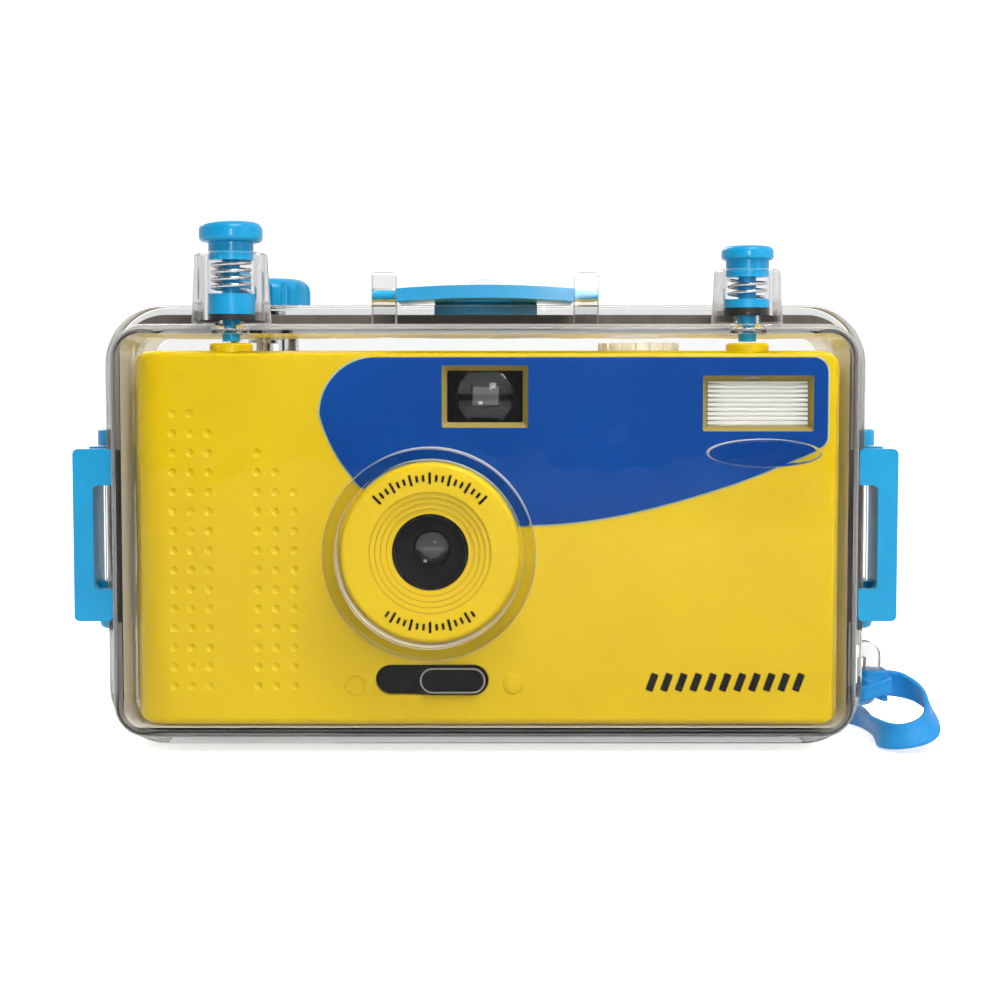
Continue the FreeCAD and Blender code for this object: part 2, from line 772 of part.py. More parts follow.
def toothed(teeth, centre, bottom, height, bore, first_tooth):
    """A spur wheel whose first tooth points along the given angle in degrees."""
    pitch_radius = gear_module * teeth / 2
    stations = ((pitch_radius - 1.25 * gear_module, 0.60), (pitch_radius, 0.43),
                (pitch_radius + gear_module, 0.22))
    tooth_pitch = math.pi * gear_module
    points = []
    for tooth in range(teeth):
        middle = math.radians(first_tooth + 360 * tooth / teeth)
        half = [(radius, share * tooth_pitch / 2 / pitch_radius) for radius, share in stations]
        for radius, spread in half:
            points.append(V(centre[0] + radius * math.cos(middle - spread),
                            centre[1] + radius * math.sin(middle - spread), bottom))
        for radius, spread in reversed(half):
            points.append(V(centre[0] + radius * math.cos(middle + spread),
                            centre[1] + radius * math.sin(middle + spread), bottom))
    wheel = Part.Face(Part.makePolygon(points + [points[0]])).extrude(V(0, 0, height))
    return wheel.cut(rod(bore, (centre[0], centre[1], bottom - 1), (0, 0, 1), height + 2))


def mesh_angle():
    return math.degrees(math.atan2(knob_y - thumb_wheel_y, knob_x - thumb_wheel_x))


def winding_knob():
    knob = rod(knob_radius, (knob_x, knob_y, knob_bottom), (0, 0, 1), knob_height)
    knob = rounded(knob, knob_round, lambda edge, middle: middle.z > knob_bottom + knob_height - 0.01
                   and len(edge.Vertexes) == 1)
    cuts = []
    for flute in range(knob_flutes):
        angle = 2 * math.pi * (flute + 0.5) / knob_flutes
        cuts.append(rod(knob_flute_radius, (knob_x + (knob_radius + 0.4) * math.cos(angle),
                                            knob_y + (knob_radius + 0.4) * math.sin(angle), knob_bottom - 1),
                        (0, 0, 1), knob_height + 2))
    cuts.append(rod(wind_shaft_radius + seat_gap, (knob_x, knob_y, knob_bottom - 1), (0, 0, 1),
                    1 + knob_height - knob_crown))
    return knob.cut(cuts)


def winding_shaft():
    bottom = gear_level - bulge_gap - bulge_wall + slide_gap
    top = knob_bottom + knob_height - knob_crown - seat_gap
    shaft = rod(wind_shaft_radius, (knob_x, knob_y, bottom), (0, 0, 1), top - bottom)
    groove_top = cavity_top - clip_play
    groove = ring(2 * wind_shaft_radius, wind_shaft_radius - clip_groove_depth,
                  (knob_x, knob_y, groove_top - clip_thickness - seat_gap), (0, 0, 1),
                  clip_thickness + 2 * seat_gap)
    return shaft.cut(groove)


def wind_pieces():
    clip_top = cavity_top - clip_play
    seal_bottom = shell_top + wind_boss_height - wind_seal_height
    return {
        "wind_knob": winding_knob(),
        "wind_shaft": winding_shaft(),
        "wind_gear": toothed(wind_gear_teeth, (knob_x, knob_y), gear_level, gear_height,
                             wind_shaft_radius + seat_gap, mesh_angle() + 180),
        "wind_clip": retaining_clip(knob_x, knob_y, clip_top, wind_shaft_radius - clip_groove_depth + seat_gap),
        "wind_seal": ring(wind_seal_radius, wind_shaft_radius + seat_gap,
                          (knob_x, knob_y, seal_bottom), (0, 0, 1), wind_seal_height),
        "thumb_wheel": toothed(thumb_wheel_teeth, (thumb_wheel_x, thumb_wheel_y), gear_level, gear_height,
                               thumb_wheel_bore + seat_gap, mesh_angle() + 180 / thumb_wheel_teeth)}


# Camera body: front cover, label and back door

def z_at(height):
    """Heights on the camera are measured from its own underside."""
    return camera_bottom + height


def plan_box(inset, flat_y, round_y):
    """The camera's block, shrunk by an inset: its two corners at round_y are round in plan."""
    half = camera_width / 2 - inset
    way = 1 if round_y > flat_y else -1
    left = camera_left_radius - inset
    right = camera_right_radius - min(inset, camera_right_radius - 0.2)
    low = camera_bottom + inset
    turn = 1 - math.sqrt(0.5)
    left_arc = Part.Arc(V(-half, round_y - way * left, low),
                        V(-half + left * turn, round_y - way * left * turn, low),
                        V(-half + left, round_y, low)).toShape()
    right_arc = Part.Arc(V(half - right, round_y, low),
                         V(half - right * turn, round_y - way * right * turn, low),
                         V(half, round_y - way * right, low)).toShape()
    corners = [V(-half, flat_y, low), V(-half, round_y - way * left, low), V(-half + left, round_y, low),
               V(half - right, round_y, low), V(half, round_y - way * right, low), V(half, flat_y, low)]
    edges = [Part.LineSegment(corners[0], corners[1]).toShape(), left_arc,
             Part.LineSegment(corners[2], corners[3]).toShape(), right_arc,
             Part.LineSegment(corners[4], corners[5]).toShape(),
             Part.LineSegment(corners[5], corners[0]).toShape()]
    return Part.Face(Part.Wire(edges)).extrude(V(0, 0, camera_height - 2 * inset))


def camera_shell(flat_y, round_y, radius):
    """One moulded half of the camera body, open at flat_y, with its long edges and corners rounded."""
    outer = plan_box(0, flat_y, round_y)
    outer = rounded(outer, radius, lambda edge, middle: abs(middle.y - flat_y) > 0.1
                    and edge.BoundBox.ZLength < 0.01)
    corners = panel(-camera_width / 2, camera_width / 2, camera_bottom, camera_top,
                    min(flat_y, round_y) - 1, max(flat_y, round_y) + 1, camera_corner)
    outer = outer.common(corners)
    way = 1 if round_y > flat_y else -1
    return outer.cut(plan_box(camera_wall, flat_y - way, round_y - way * camera_wall))


def window(x, height, width, tall, bevel):
    """A window through the front wall whose four sides slope inwards."""
    outer = rounded_wire(x - width / 2, x + width / 2, z_at(height) - tall / 2, z_at(height) + tall / 2,
                         camera_front, window_round)
    inner = rounded_wire(x - width / 2 + bevel, x + width / 2 - bevel, z_at(height) - tall / 2 + bevel,
                         z_at(height) + tall / 2 - bevel, camera_front + camera_wall, window_round)
    return Part.makeLoft([outer, inner], True, True)


def stadium(x, height, width, tall, y0, y1):
    return panel(x - width / 2, x + width / 2, z_at(height) - tall / 2, z_at(height) + tall / 2,
                 y0, y1, tall / 2 - 0.01)


def camera_front_cover():
    split = camera_back - door_depth
    inner_front = camera_front + camera_wall
    cover = camera_shell(split, camera_front, camera_edge)
    barrel = rod(barrel_radius, (lens_x, inner_front, lens_z), (0, -1, 0), camera_wall + barrel_reach)
    barrel = rounded(barrel, 0.7, lambda edge, middle: middle.y < camera_front - barrel_reach + 0.01)
    cover = cover.fuse(barrel).removeSplitter()
    face = camera_front - barrel_reach
    cuts = [rod(barrel_radius - camera_wall, (lens_x, 0, lens_z), (0, -1, 0), -face - barrel_face),
            rod(barrel_hole, (lens_x, 0, lens_z), (0, -1, 0), camera_depth)]
    for index, radius in enumerate(barrel_steps):
        depth = barrel_step_depth * (index + 1)
        cuts.append(rod(radius, (lens_x, face + depth, lens_z), (0, -1, 0), depth + 1))
    cuts.append(window(finder_x, finder_height, finder_width, finder_tall, window_bevel))
    cuts.append(window(flash_window_x, flash_window_height, flash_window_width, flash_window_tall, window_bevel))
    cuts.append(stadium(slot_x, slot_height, slot_width, slot_tall, camera_front - 1, inner_front + 1))
    for x, travel in ((shutter_x, shutter_travel), (flash_x, flash_travel)):
        cuts.append(rod(button_radius + running_gap, (x, -tower_inset, camera_top - 2 * camera_wall - travel),
                        (0, 0, 1), 10))
    cuts.append(rod(rewind_shaft + running_gap, (cartridge_x, cartridge_y, camera_top - 2 * camera_wall),
                    (0, 0, 1), 10))
    cuts.append(rod(counter_window, (counter_x, counter_y - counter_radius * 0.6, camera_top - 2 * camera_wall),
                    (0, 0, 1), 10))
    for x in screw_places:
        cuts.append(rod(screw_radius + running_gap, (x, screw_y, 0), (0, 0, 1), camera_bottom + 2 * camera_wall))
        cuts.append(rod(screw_head + running_gap, (x, screw_y, 0), (0, 0, 1), camera_bottom + screw_sink))
    return cover.cut(cuts)


def label_outline():
    """The printed label: round left end, straight top and right, and a sweep along the bottom."""
    y = camera_front - label_thickness
    tip_z = z_at(label_tip_height)
    top_z = z_at(label_top)
    corner = V(label_right - label_corner, y, top_z)
    corner_end = V(label_right, y, top_z - label_corner)
    corner_middle = V(label_right - label_corner * (1 - math.sqrt(0.5)), y,
                      top_z - label_corner * (1 - math.sqrt(0.5)))
    sweep = [V(x, y, z_at(height)) for x, height in label_sweep]
    tip_top = V(label_tip_x, y, tip_z + label_tip_radius)
    tip_left = V(label_tip_x - label_tip_radius, y, tip_z)
    tip_mid = V(label_tip_x - label_tip_radius * math.sqrt(0.5), y, tip_z + label_tip_radius * math.sqrt(0.5))
    low_left = V(label_tip_x, y, z_at(label_tip_height - label_left_drop))
    low_mid = V(label_tip_x - label_mid_out, y, z_at(label_tip_height - label_mid_drop))
    curve = Part.BSplineCurve()
    curve.interpolate(sweep)
    edges = [Part.LineSegment(V(tip_top.x, y, top_z), corner).toShape(),
             Part.Arc(corner, corner_middle, corner_end).toShape(),
             Part.LineSegment(corner_end, sweep[0]).toShape(),
             curve.toShape(),
             Part.LineSegment(sweep[-1], low_left).toShape(),
             Part.Arc(low_left, low_mid, tip_left).toShape(),
             Part.Arc(tip_left, tip_mid, tip_top).toShape()]
    return Part.Face(Part.Wire(edges))


def front_label():
    label = label_outline().extrude(V(0, label_thickness, 0))
    near = camera_front - 1
    holes = [rod(barrel_radius + body_gap, (lens_x, near, lens_z), (0, 1, 0), 2)]
    for x, height, width, tall in ((finder_x, finder_height, finder_width, finder_tall),
                                   (flash_window_x, flash_window_height, flash_window_width,
                                    flash_window_tall)):
        holes.append(panel(x - width / 2, x + width / 2, z_at(height) - tall / 2, z_at(height) + tall / 2,
                           near, near + 2, window_round))
    return label.cut(holes)


def camera_back_door():
    split = camera_back - door_depth
    half = camera_width / 2
    door = camera_shell(split + seat_gap, camera_back, camera_edge)
    wheel_room = rod(thumb_wheel_tip + bulge_gap, (thumb_wheel_x, thumb_wheel_y, gear_level - bulge_gap),
                     (0, 0, 1), gear_height + 2 * bulge_gap)
    wheel_room = wheel_room.common(block(-half, half, camera_back - 2 * camera_wall, shell_back, 0, flange_height))
    gear_room = rod(wind_gear_tip + bulge_gap, (knob_x, knob_y, gear_level - bulge_gap),
                    (0, 0, 1), gear_height + 2 * bulge_gap)
    eye = panel(finder_x - eye_width / 2, finder_x + eye_width / 2, z_at(finder_height) - eye_tall / 2,
                z_at(finder_height) + eye_tall / 2, camera_back - 2 * camera_wall, camera_back + 1, 0.5)
    return door.cut([wheel_room, gear_room, eye])


# Camera front details

def cover_slider():
    x = slot_x + slot_width / 2 - slider_width / 2 - running_gap
    inner = camera_front + camera_wall + slide_gap
    knob = stadium(x, slot_height, slider_width - 2 * running_gap, slot_tall - 2 * running_gap,
                   camera_front - slider_proud, inner + slider_plate / 2)
    knob = rounded(knob, 0.4, lambda edge, middle: middle.y < camera_front - slider_proud + 0.01)
    left = slot_x - slot_width / 2 - slider_margin
    right = slot_x + slot_width / 2 + slider_travel + slider_margin
    plate = panel(left, right, z_at(slot_height) - slot_tall / 2 - slider_margin,
                  z_at(slot_height) + slot_tall / 2 + slider_margin, inner, inner + slider_plate, 1.0)
    pin = rod(slider_pin, (x, inner, z_at(slot_height)), (0, 1, 0), slider_plate + slider_pin_reach)
    return fuse_all(knob, plate, pin)


def lens_hood():
    """The black funnel that fills the hole of the barrel."""
    front = camera_front - barrel_reach + barrel_face
    back = cover_blade_y() - hood_back_gap
    outer = barrel_hole - seat_gap
    profile = [(outer, front - hood_stand), (outer, back), (lens_radius, back),
               (outer - hood_rim, front - hood_stand)]
    return turned(profile, (lens_x, 0, lens_z), "y")


def lens_cover():
    """A pivoting blade: its fork follows the slider's pin and its disc shuts the lens."""
    y = cover_blade_y()
    pivot_z = z_at(cover_pivot_height)
    rest_x = slot_x + slot_width / 2 - slider_width / 2 - running_gap
    drop = pivot_z - z_at(slot_height)
    swing = math.degrees(math.atan2(rest_x - lens_x, drop))
    disc = rod(cover_disc, (lens_x, y, lens_z), (0, 1, 0), cover_thickness)
    arm = block(lens_x - cover_arm / 2, lens_x + cover_arm / 2, y, y + cover_thickness, pivot_z, lens_z)
    hub = rod(cover_hub, (lens_x, y, pivot_z), (0, 1, 0), cover_thickness)
    blade = fuse_all(disc, arm, hub)
    blade.rotate(V(lens_x, y, pivot_z), V(0, 1, 0), -2 * swing)
    tail = block(lens_x - cover_arm / 2 - slider_pin, lens_x + cover_arm / 2 + slider_pin, y, y + cover_thickness,
                 pivot_z - drop - 2, pivot_z)
    fork = block(lens_x - slider_pin - body_gap, lens_x + slider_pin + body_gap, y - 1, y + 2,
                 pivot_z - drop - 3, pivot_z - drop + 2.5)
    tail = tail.cut(fork)
    tail.rotate(V(lens_x, y, pivot_z), V(0, 1, 0), -swing)
    hole = rod(cover_post + running_gap, (lens_x, y - 1, pivot_z), (0, 1, 0), 3)
    return blade.fuse(tail).removeSplitter().cut(hole)


def cover_blade_y():
    return camera_front + camera_wall + slide_gap + slider_plate + 2 * slide_gap


def lens_board():
    """The plate behind the cover blade that carries the front lens, the blade's post and the shutter."""
    boss_y = cover_blade_y() + cover_thickness + 2 * slide_gap
    board_y = boss_y + lens_boss
    board = panel(lens_x - board_half, lens_x + board_half, lens_z - board_low, lens_z + board_high,
                  board_y, board_y + board_thickness, board_round)
    boss = rod(lens_radius + lens_boss_wall, (lens_x, boss_y, lens_z), (0, 1, 0), lens_boss)
    post = rod(cover_post, (lens_x, cover_blade_y(), z_at(cover_pivot_height)), (0, 1, 0), board_y - cover_blade_y())
    spacers = []
    for side in (-1, 1):
        for level in (-board_low + spacer_inset, board_high - spacer_inset):
            spacers.append(rod(spacer_radius, (lens_x + side * (board_half - spacer_inset), board_y, lens_z + level),
                               (0, 1, 0), board_thickness + shutter_room))
    pivot = rod(shutter_pin, (lens_x + shutter_arm_x, board_y, lens_z - shutter_arm_z), (0, 1, 0),
                board_thickness + shutter_room * 0.8)
    shape = fuse_all(board, boss, post, pivot, *spacers)
    return shape.cut([rod(lens_radius + seat_gap, (lens_x, boss_y - 1, lens_z), (0, 1, 0), 1 + lens_bore_depth),
                      rod(lens_radius * 0.8, (lens_x, boss_y - 1, lens_z), (0, 1, 0), camera_depth)])


def board_back():
    return cover_blade_y() + cover_thickness + 2 * slide_gap + lens_boss + board_thickness


def plano_convex(radius, edge, bulge, centre):
    """A lens whose front bulges and whose back is flat, facing the front."""
    cx, cy, cz = centre
    curve = (radius ** 2 + bulge ** 2) / (2 * bulge)
    blank = rod(radius, (cx, cy - bulge, cz), (0, 1, 0), bulge + edge)
    return blank.common(Part.makeSphere(curve, V(cx, cy - bulge + curve, cz)))


def shutter_blade():
    """A light blade that covers the opening behind the lens and swings aside."""
    y = board_back() + slide_gap
    px = lens_x + shutter_arm_x
    pz = lens_z - shutter_arm_z
    disc = rod(lens_radius + shutter_overlap, (lens_x, y, lens_z), (0, 1, 0), shutter_thickness)
    length = math.hypot(shutter_arm_x, shutter_arm_z)
    arm = block(px - shutter_arm_half, px + shutter_arm_half, y, y + shutter_thickness, pz, pz + length)
    arm.rotate(V(px, y, pz), V(0, 1, 0), -math.degrees(math.atan2(shutter_arm_x, shutter_arm_z)))
    hub = rod(shutter_pin + shutter_arm_half, (px, y, pz), (0, 1, 0), shutter_thickness)
    return fuse_all(disc, arm, hub).cut(rod(shutter_pin + running_gap, (px, y - 1, pz), (0, 1, 0), 3))


def front_lens():
    boss_y = board_back() - board_thickness - lens_boss
    return plano_convex(lens_radius, lens_edge, lens_bulge, (lens_x, boss_y + lens_bore_depth - lens_edge, lens_z))


# Film path inside the camera

def chassis():
    """The black frame: light box, film gate, decks for the sprocket and walls of the cartridge room."""
    front = board_back() + shutter_room
    gate_y = film_y - chassis_wall
    near_half = lens_radius + light_box_margin
    wide = gate_width / 2 + chassis_wall
    tall = gate_tall / 2 + chassis_wall

    def funnel(inset, y0, y1):
        near = rounded_wire(lens_x - near_half + inset, lens_x + near_half - inset, lens_z - near_half + inset,
                            lens_z + near_half - inset, y0, 0.5)
        far = rounded_wire(lens_x - wide + inset, lens_x + wide - inset, lens_z - tall + inset,
                           lens_z + tall - inset, y1, 0.5)
        return Part.makeLoft([near, far], True, True)

    plate = panel(lens_x - board_half, lens_x + board_half, lens_z - board_low, lens_z + board_high,
                  front, front + chassis_wall, board_round)
    gate = panel(lens_x - wide, lens_x + wide, z_at(deck_low), z_at(deck_high), gate_y, film_y, 0.5)
    decks = []
    for level in (deck_low, deck_high - chassis_wall):
        decks.append(block(sprocket_x - sprocket_radius, lens_x + wide, front + 1, film_y - 0.5 * chassis_wall,
                           z_at(level), z_at(level) + chassis_wall))
    tie = block(lens_x + wide - chassis_wall, lens_x + wide, front, film_y, z_at(deck_low), z_at(deck_high))
    feet = []
    cuts = [funnel(chassis_wall, front + 2 * chassis_wall, film_y + 0.5),
            rod(rear_lens_radius + seat_gap, (lens_x, front - 1, lens_z), (0, 1, 0), 2 + 2 * chassis_wall),
            rod(sprocket_pin + running_gap, (sprocket_x, film_y - sprocket_radius - body_gap, 0),
                (0, 0, 1), flange_height),
            rod(sprocket_pin + running_gap, (counter_x, counter_y, z_at(deck_high) - 2 * chassis_wall),
                (0, 0, 1), 4 * chassis_wall)]
    for x in screw_places:
        feet.append(rod(screw_foot, (x, screw_y, camera_bottom + camera_wall), (0, 0, 1),
                        z_at(deck_low) - camera_bottom - camera_wall + chassis_wall / 2))
        cuts.append(rod(screw_radius + seat_gap, (x, screw_y, camera_bottom), (0, 0, 1), screw_sink + screw_long))
    solid = fuse_all(plate, gate, tie, funnel(0, front, film_y), *decks, *feet)
    return solid.cut(cuts)


def rear_lens():
    front = board_back() + shutter_room
    return plano_convex(rear_lens_radius, lens_edge, lens_bulge / 2, (lens_x, front + lens_bulge, lens_z))


def sprocket():
    """The toothed roller that meters the film, eight teeth to a frame, on its own two pins."""
    y = film_y - sprocket_radius - body_gap
    low = z_at(deck_low) + chassis_wall + body_gap
    high = z_at(deck_high) - chassis_wall - body_gap
    roller = fuse_all(rod(sprocket_radius * sprocket_core, (sprocket_x, y, low), (0, 0, 1), high - low),
                      rod(sprocket_pin, (sprocket_x, y, low - body_gap - chassis_wall), (0, 0, 1),
                          high - low + 2 * (body_gap + chassis_wall)))
    rims = []
    for level in (lens_z - gate_tall / 2 - sprocket_rim_gap - sprocket_rim,
                  lens_z + gate_tall / 2 + sprocket_rim_gap):
        rims.append(rod(sprocket_radius, (sprocket_x, y, level), (0, 0, 1), sprocket_rim))
        for tooth in range(sprocket_teeth):
            spur = cone(tooth_foot, tooth_tip, (sprocket_x + sprocket_radius - tooth_root, y,
                                                level + sprocket_rim / 2), (1, 0, 0), tooth_tall)
            spur.rotate(V(sprocket_x, y, 0), V(0, 0, 1), 360 * (tooth + 0.5) / sprocket_teeth)
            rims.append(spur)
    return fuse_all(roller, *rims)


def take_up_spool():
    low = camera_bottom + camera_wall + body_gap
    high = gear_level - slide_gap
    drum = rod(spool_radius, (thumb_wheel_x, thumb_wheel_y, low), (0, 0, 1), high - low)
    slot = block(thumb_wheel_x - spool_radius, thumb_wheel_x + spool_radius, thumb_wheel_y - spool_slot_half,
                 thumb_wheel_y + spool_slot_half, lens_z - gate_tall / 2, lens_z + gate_tall / 2)
    axle = rod(thumb_wheel_bore, (thumb_wheel_x, thumb_wheel_y, high), (0, 0, 1),
               gear_height + slide_gap + spool_axle_reach)
    return drum.cut(slot).fuse(axle).removeSplitter()


def film_cartridge():
    low = camera_bottom + camera_wall + body_gap
    can = rod(cartridge_radius, (cartridge_x, cartridge_y, low), (0, 0, 1), cartridge_tall)
    can = rounded(can, 0.6, lambda edge, middle: len(edge.Vertexes) == 1)
    side = cartridge_x - cartridge_radius
    lip_y = film_y - body_gap
    lip_z = low + cartridge_lip_inset
    lip = block(side - cartridge_lip_reach, side + cartridge_lip_root, lip_y - cartridge_lip_thickness, lip_y,
                lip_z, lip_z + cartridge_lip_tall)
    bore = rod(rewind_shaft + slide_gap, (cartridge_x, cartridge_y, low + cartridge_tall - cartridge_bore_depth),
               (0, 0, 1), 2 * cartridge_bore_depth)
    return can.fuse(lip).removeSplitter().cut(bore)


def rewind_knob():
    base = camera_top + slide_gap
    disc = rod(rewind_knob_radius, (cartridge_x, cartridge_y, base), (0, 0, 1), rewind_knob_height)
    cuts = []
    for notch in range(rewind_notches):
        angle = 2 * math.pi * notch / rewind_notches
        cuts.append(rod(rewind_notch_radius, (cartridge_x + rewind_knob_radius * math.cos(angle),
                               cartridge_y + rewind_knob_radius * math.sin(angle), base - 1),
                        (0, 0, 1), 2 + rewind_knob_height))
    disc = disc.cut(cuts)
    depth = camera_top - (camera_bottom + camera_wall + body_gap + cartridge_tall) + rewind_reach
    shaft = rod(rewind_shaft, (cartridge_x, cartridge_y, camera_top - depth), (0, 0, 1), depth + 2 * slide_gap)
    fork = block(cartridge_x - fork_half, cartridge_x + fork_half, cartridge_y - 2 * rewind_shaft,
                 cartridge_y + 2 * rewind_shaft, camera_top - depth - 1,
                 camera_top - depth + rewind_reach - fork_drop)
    return disc.fuse(shaft).removeSplitter().cut(fork)


def pressure_plate():
    y = film_y + body_gap
    half_width = gate_width / 2 + pressure_side
    half_tall = gate_tall / 2 + pressure_edge
    return panel(lens_x - half_width, lens_x + half_width, lens_z - half_tall, lens_z + half_tall,
                 y, y + pressure_thickness, pressure_round)


def pressure_spring():
    """A bowed leaf between the door and the pressure plate."""
    touch = film_y + body_gap + pressure_thickness + slide_gap
    wall = camera_back - camera_wall
    reach = gate_width / 3
    outer = Part.Arc(V(lens_x - reach, wall, 0), V(lens_x, touch, 0), V(lens_x + reach, wall, 0)).toShape()
    foot = reach - leaf_foot
    inner = Part.Arc(V(lens_x + foot, wall, 0), V(lens_x, touch + leaf_thickness, 0),
                     V(lens_x - foot, wall, 0)).toShape()
    ends = [Part.LineSegment(V(lens_x + reach, wall, 0), V(lens_x + foot, wall, 0)).toShape(),
            Part.LineSegment(V(lens_x - foot, wall, 0), V(lens_x - reach, wall, 0)).toShape()]
    leaf = Part.Face(Part.Wire([outer, ends[0], inner, ends[1]])).extrude(V(0, 0, leaf_tall))
    leaf.translate(V(0, 0, lens_z - leaf_tall / 2))
    return leaf


def frame_counter():
    top = camera_top - camera_wall - slide_gap
    disc = rod(counter_radius, (counter_x, counter_y, top - counter_thickness), (0, 0, 1), counter_thickness)
    low = z_at(deck_high) - chassis_wall
    return fuse_all(disc, rod(sprocket_pin, (counter_x, counter_y, low), (0, 0, 1),
                          top - counter_thickness - low))


# Finder and flash

def finder_tunnel():
    half_w = finder_width / 2 - window_bevel
    half_h = finder_tall / 2 - window_bevel
    z = z_at(finder_height)
    front = camera_front + camera_wall + seat_gap
    back = camera_back - camera_wall - seat_gap
    outer = panel(finder_x - half_w - finder_wall, finder_x + half_w + finder_wall, z - half_h - finder_wall,
                  z + half_h + finder_wall, front, back, 0.4)
    near = rounded_wire(finder_x - half_w, finder_x + half_w, z - half_h, z + half_h, front - 0.1,
                        window_round)
    far = rounded_wire(finder_x - eye_width / 2 - finder_rebate / 2, finder_x + eye_width / 2 + finder_rebate / 2,
                       z - eye_tall / 2 - finder_rebate / 2, z + eye_tall / 2 + finder_rebate / 2,
                       back + 0.1, window_round)
    hollow = Part.makeLoft([near, far], True, True)
    rear_w = eye_width / 2 + finder_rebate
    rear_h = eye_tall / 2 + finder_rebate
    rear_seat = panel(finder_x - rear_w, finder_x + rear_w, z - rear_h, z + rear_h,
                      back - finder_lens - seat_gap, back + 0.1, window_round)
    front_w = half_w + finder_front_rebate
    front_h = half_h + finder_front_rebate
    front_seat = panel(finder_x - front_w, finder_x + front_w, z - front_h, z + front_h,
                       finder_lens_y(), finder_lens_y() + finder_lens + seat_gap, window_round)
    return outer.cut([hollow, rear_seat, front_seat])


def finder_lens_y():
    return camera_front + camera_wall + finder_sink


def finder_front_lens():
    half_w = finder_width / 2 - window_bevel + finder_front_rebate - seat_gap
    half_h = finder_tall / 2 - window_bevel + finder_front_rebate - seat_gap
    z = z_at(finder_height)
    y = finder_lens_y() + seat_gap
    glass = panel(finder_x - half_w, finder_x + half_w, z - half_h, z + half_h, y, y + finder_lens - seat_gap,
                  window_round)
    dish = Part.makeSphere(finder_curve, V(finder_x, y - finder_curve + finder_lens * 0.6, z))
    return glass.cut(dish)


def finder_rear_lens():
    z = z_at(finder_height)
    back = camera_back - camera_wall - seat_gap
    half_w = eye_width / 2 + finder_rebate - seat_gap
    half_h = eye_tall / 2 + finder_rebate - seat_gap
    return panel(finder_x - half_w, finder_x + half_w, z - half_h, z + half_h, back - finder_lens, back,
                 window_round)


def flash_lens():
    """A clear pane with horizontal half-round ribs on its face, clipped behind the window."""
    half_w = flash_window_width / 2 - window_bevel - seat_gap
    half_h = flash_window_tall / 2 - window_bevel - seat_gap
    z = z_at(flash_window_height)
    inner = camera_front + camera_wall
    front = inner - flash_lens_plate
    pane = panel(flash_window_x - half_w, flash_window_x + half_w, z - half_h, z + half_h, front,
                 inner + flash_rim / 2, window_round)
    rim = panel(flash_window_x - half_w - flash_rim, flash_window_x + half_w + flash_rim, z - half_h - flash_rim,
                z + half_h + flash_rim, inner + seat_gap, inner + flash_rim, window_round)
    pane = pane.fuse(rim)
    pitch = 2 * half_h / flash_lens_ribs
    grooves = []
    for rib in range(flash_lens_ribs + 1):
        level = z - half_h + rib * pitch
        groove = Part.Face(Part.makePolygon([
            V(flash_window_x - half_w - 1, front - 0.1, level - pitch / 3),
            V(flash_window_x - half_w - 1, front + pitch / 3, level),
            V(flash_window_x - half_w - 1, front - 0.1, level + pitch / 3),
            V(flash_window_x - half_w - 1, front - 0.1, level - pitch / 3)])).extrude(V(2 * half_w + 2, 0, 0))
        grooves.append(groove)
    return pane.cut(grooves)


def trough(depth, half_tall, half_wide, y0, z):
    """Half of a long elliptic tube, open to the front."""
    curve = Part.Ellipse(V(0, 0, 0), max(depth, half_tall), min(depth, half_tall)).toShape()
    face = Part.Face(Part.Wire(curve))
    face.rotate(V(0, 0, 0), V(0, 0, 1), 90)
    face.rotate(V(0, 0, 0), V(0, 1, 0), 90)
    face.translate(V(flash_window_x - half_wide, y0, z))
    solid = face.extrude(V(2 * half_wide, 0, 0))
    return solid.common(block(-flange_x, flange_x, y0, y0 + 2 * depth, z - 2 * depth, z + 2 * depth))


def flash_reflector():
    z = z_at(flash_window_height)
    y0 = camera_front + camera_wall + flash_rim + seat_gap
    half_h = flash_window_tall / 2 - window_bevel
    half_w = flash_window_width / 2 - window_bevel
    outer = trough(reflector_depth, half_h + reflector_wall, half_w + reflector_wall, y0, z)
    inner = trough(reflector_depth - reflector_wall, half_h, half_w, y0, z)
    tube = rod(tube_radius + running_gap, (flash_window_x - flash_window_width, y0 + reflector_depth * tube_place, z),
               (1, 0, 0), 2 * flash_window_width)
    return outer.cut([inner, tube])


def flash_tube():
    z = z_at(flash_window_height)
    y = camera_front + camera_wall + flash_rim + seat_gap + reflector_depth * tube_place
    half = flash_window_width / 2 + tube_end
    return rod(tube_radius, (flash_window_x - half, y, z), (1, 0, 0), 2 * half)


def flash_board():
    y = camera_front + camera_wall + 2 * capacitor_radius + 2 * slide_gap + seat_gap
    right = camera_width / 2 - camera_wall - body_gap
    return block(board_x, right, y, y + flash_board_thickness, camera_bottom + camera_wall + body_gap,
                 z_at(flash_board_height))


def flash_capacitor():
    y = camera_front + camera_wall + capacitor_radius + slide_gap + seat_gap
    can = rod(capacitor_radius, (battery_x, y, z_at(capacitor_height)), (0, 0, 1), capacitor_tall)
    return rounded(can, 0.5, lambda edge, middle: len(edge.Vertexes) == 1)


def battery_cell():
    low = camera_bottom + camera_wall + 2 * body_gap + contact_thickness
    can = rod(battery_radius, (battery_x, battery_y, low), (0, 0, 1), battery_tall - nub_tall)
    can = rounded(can, 0.5, lambda edge, middle: len(edge.Vertexes) == 1)
    nub = rod(nub_radius, (battery_x, battery_y, low + battery_tall - nub_tall), (0, 0, 1), nub_tall)
    return can.fuse(nub).removeSplitter()


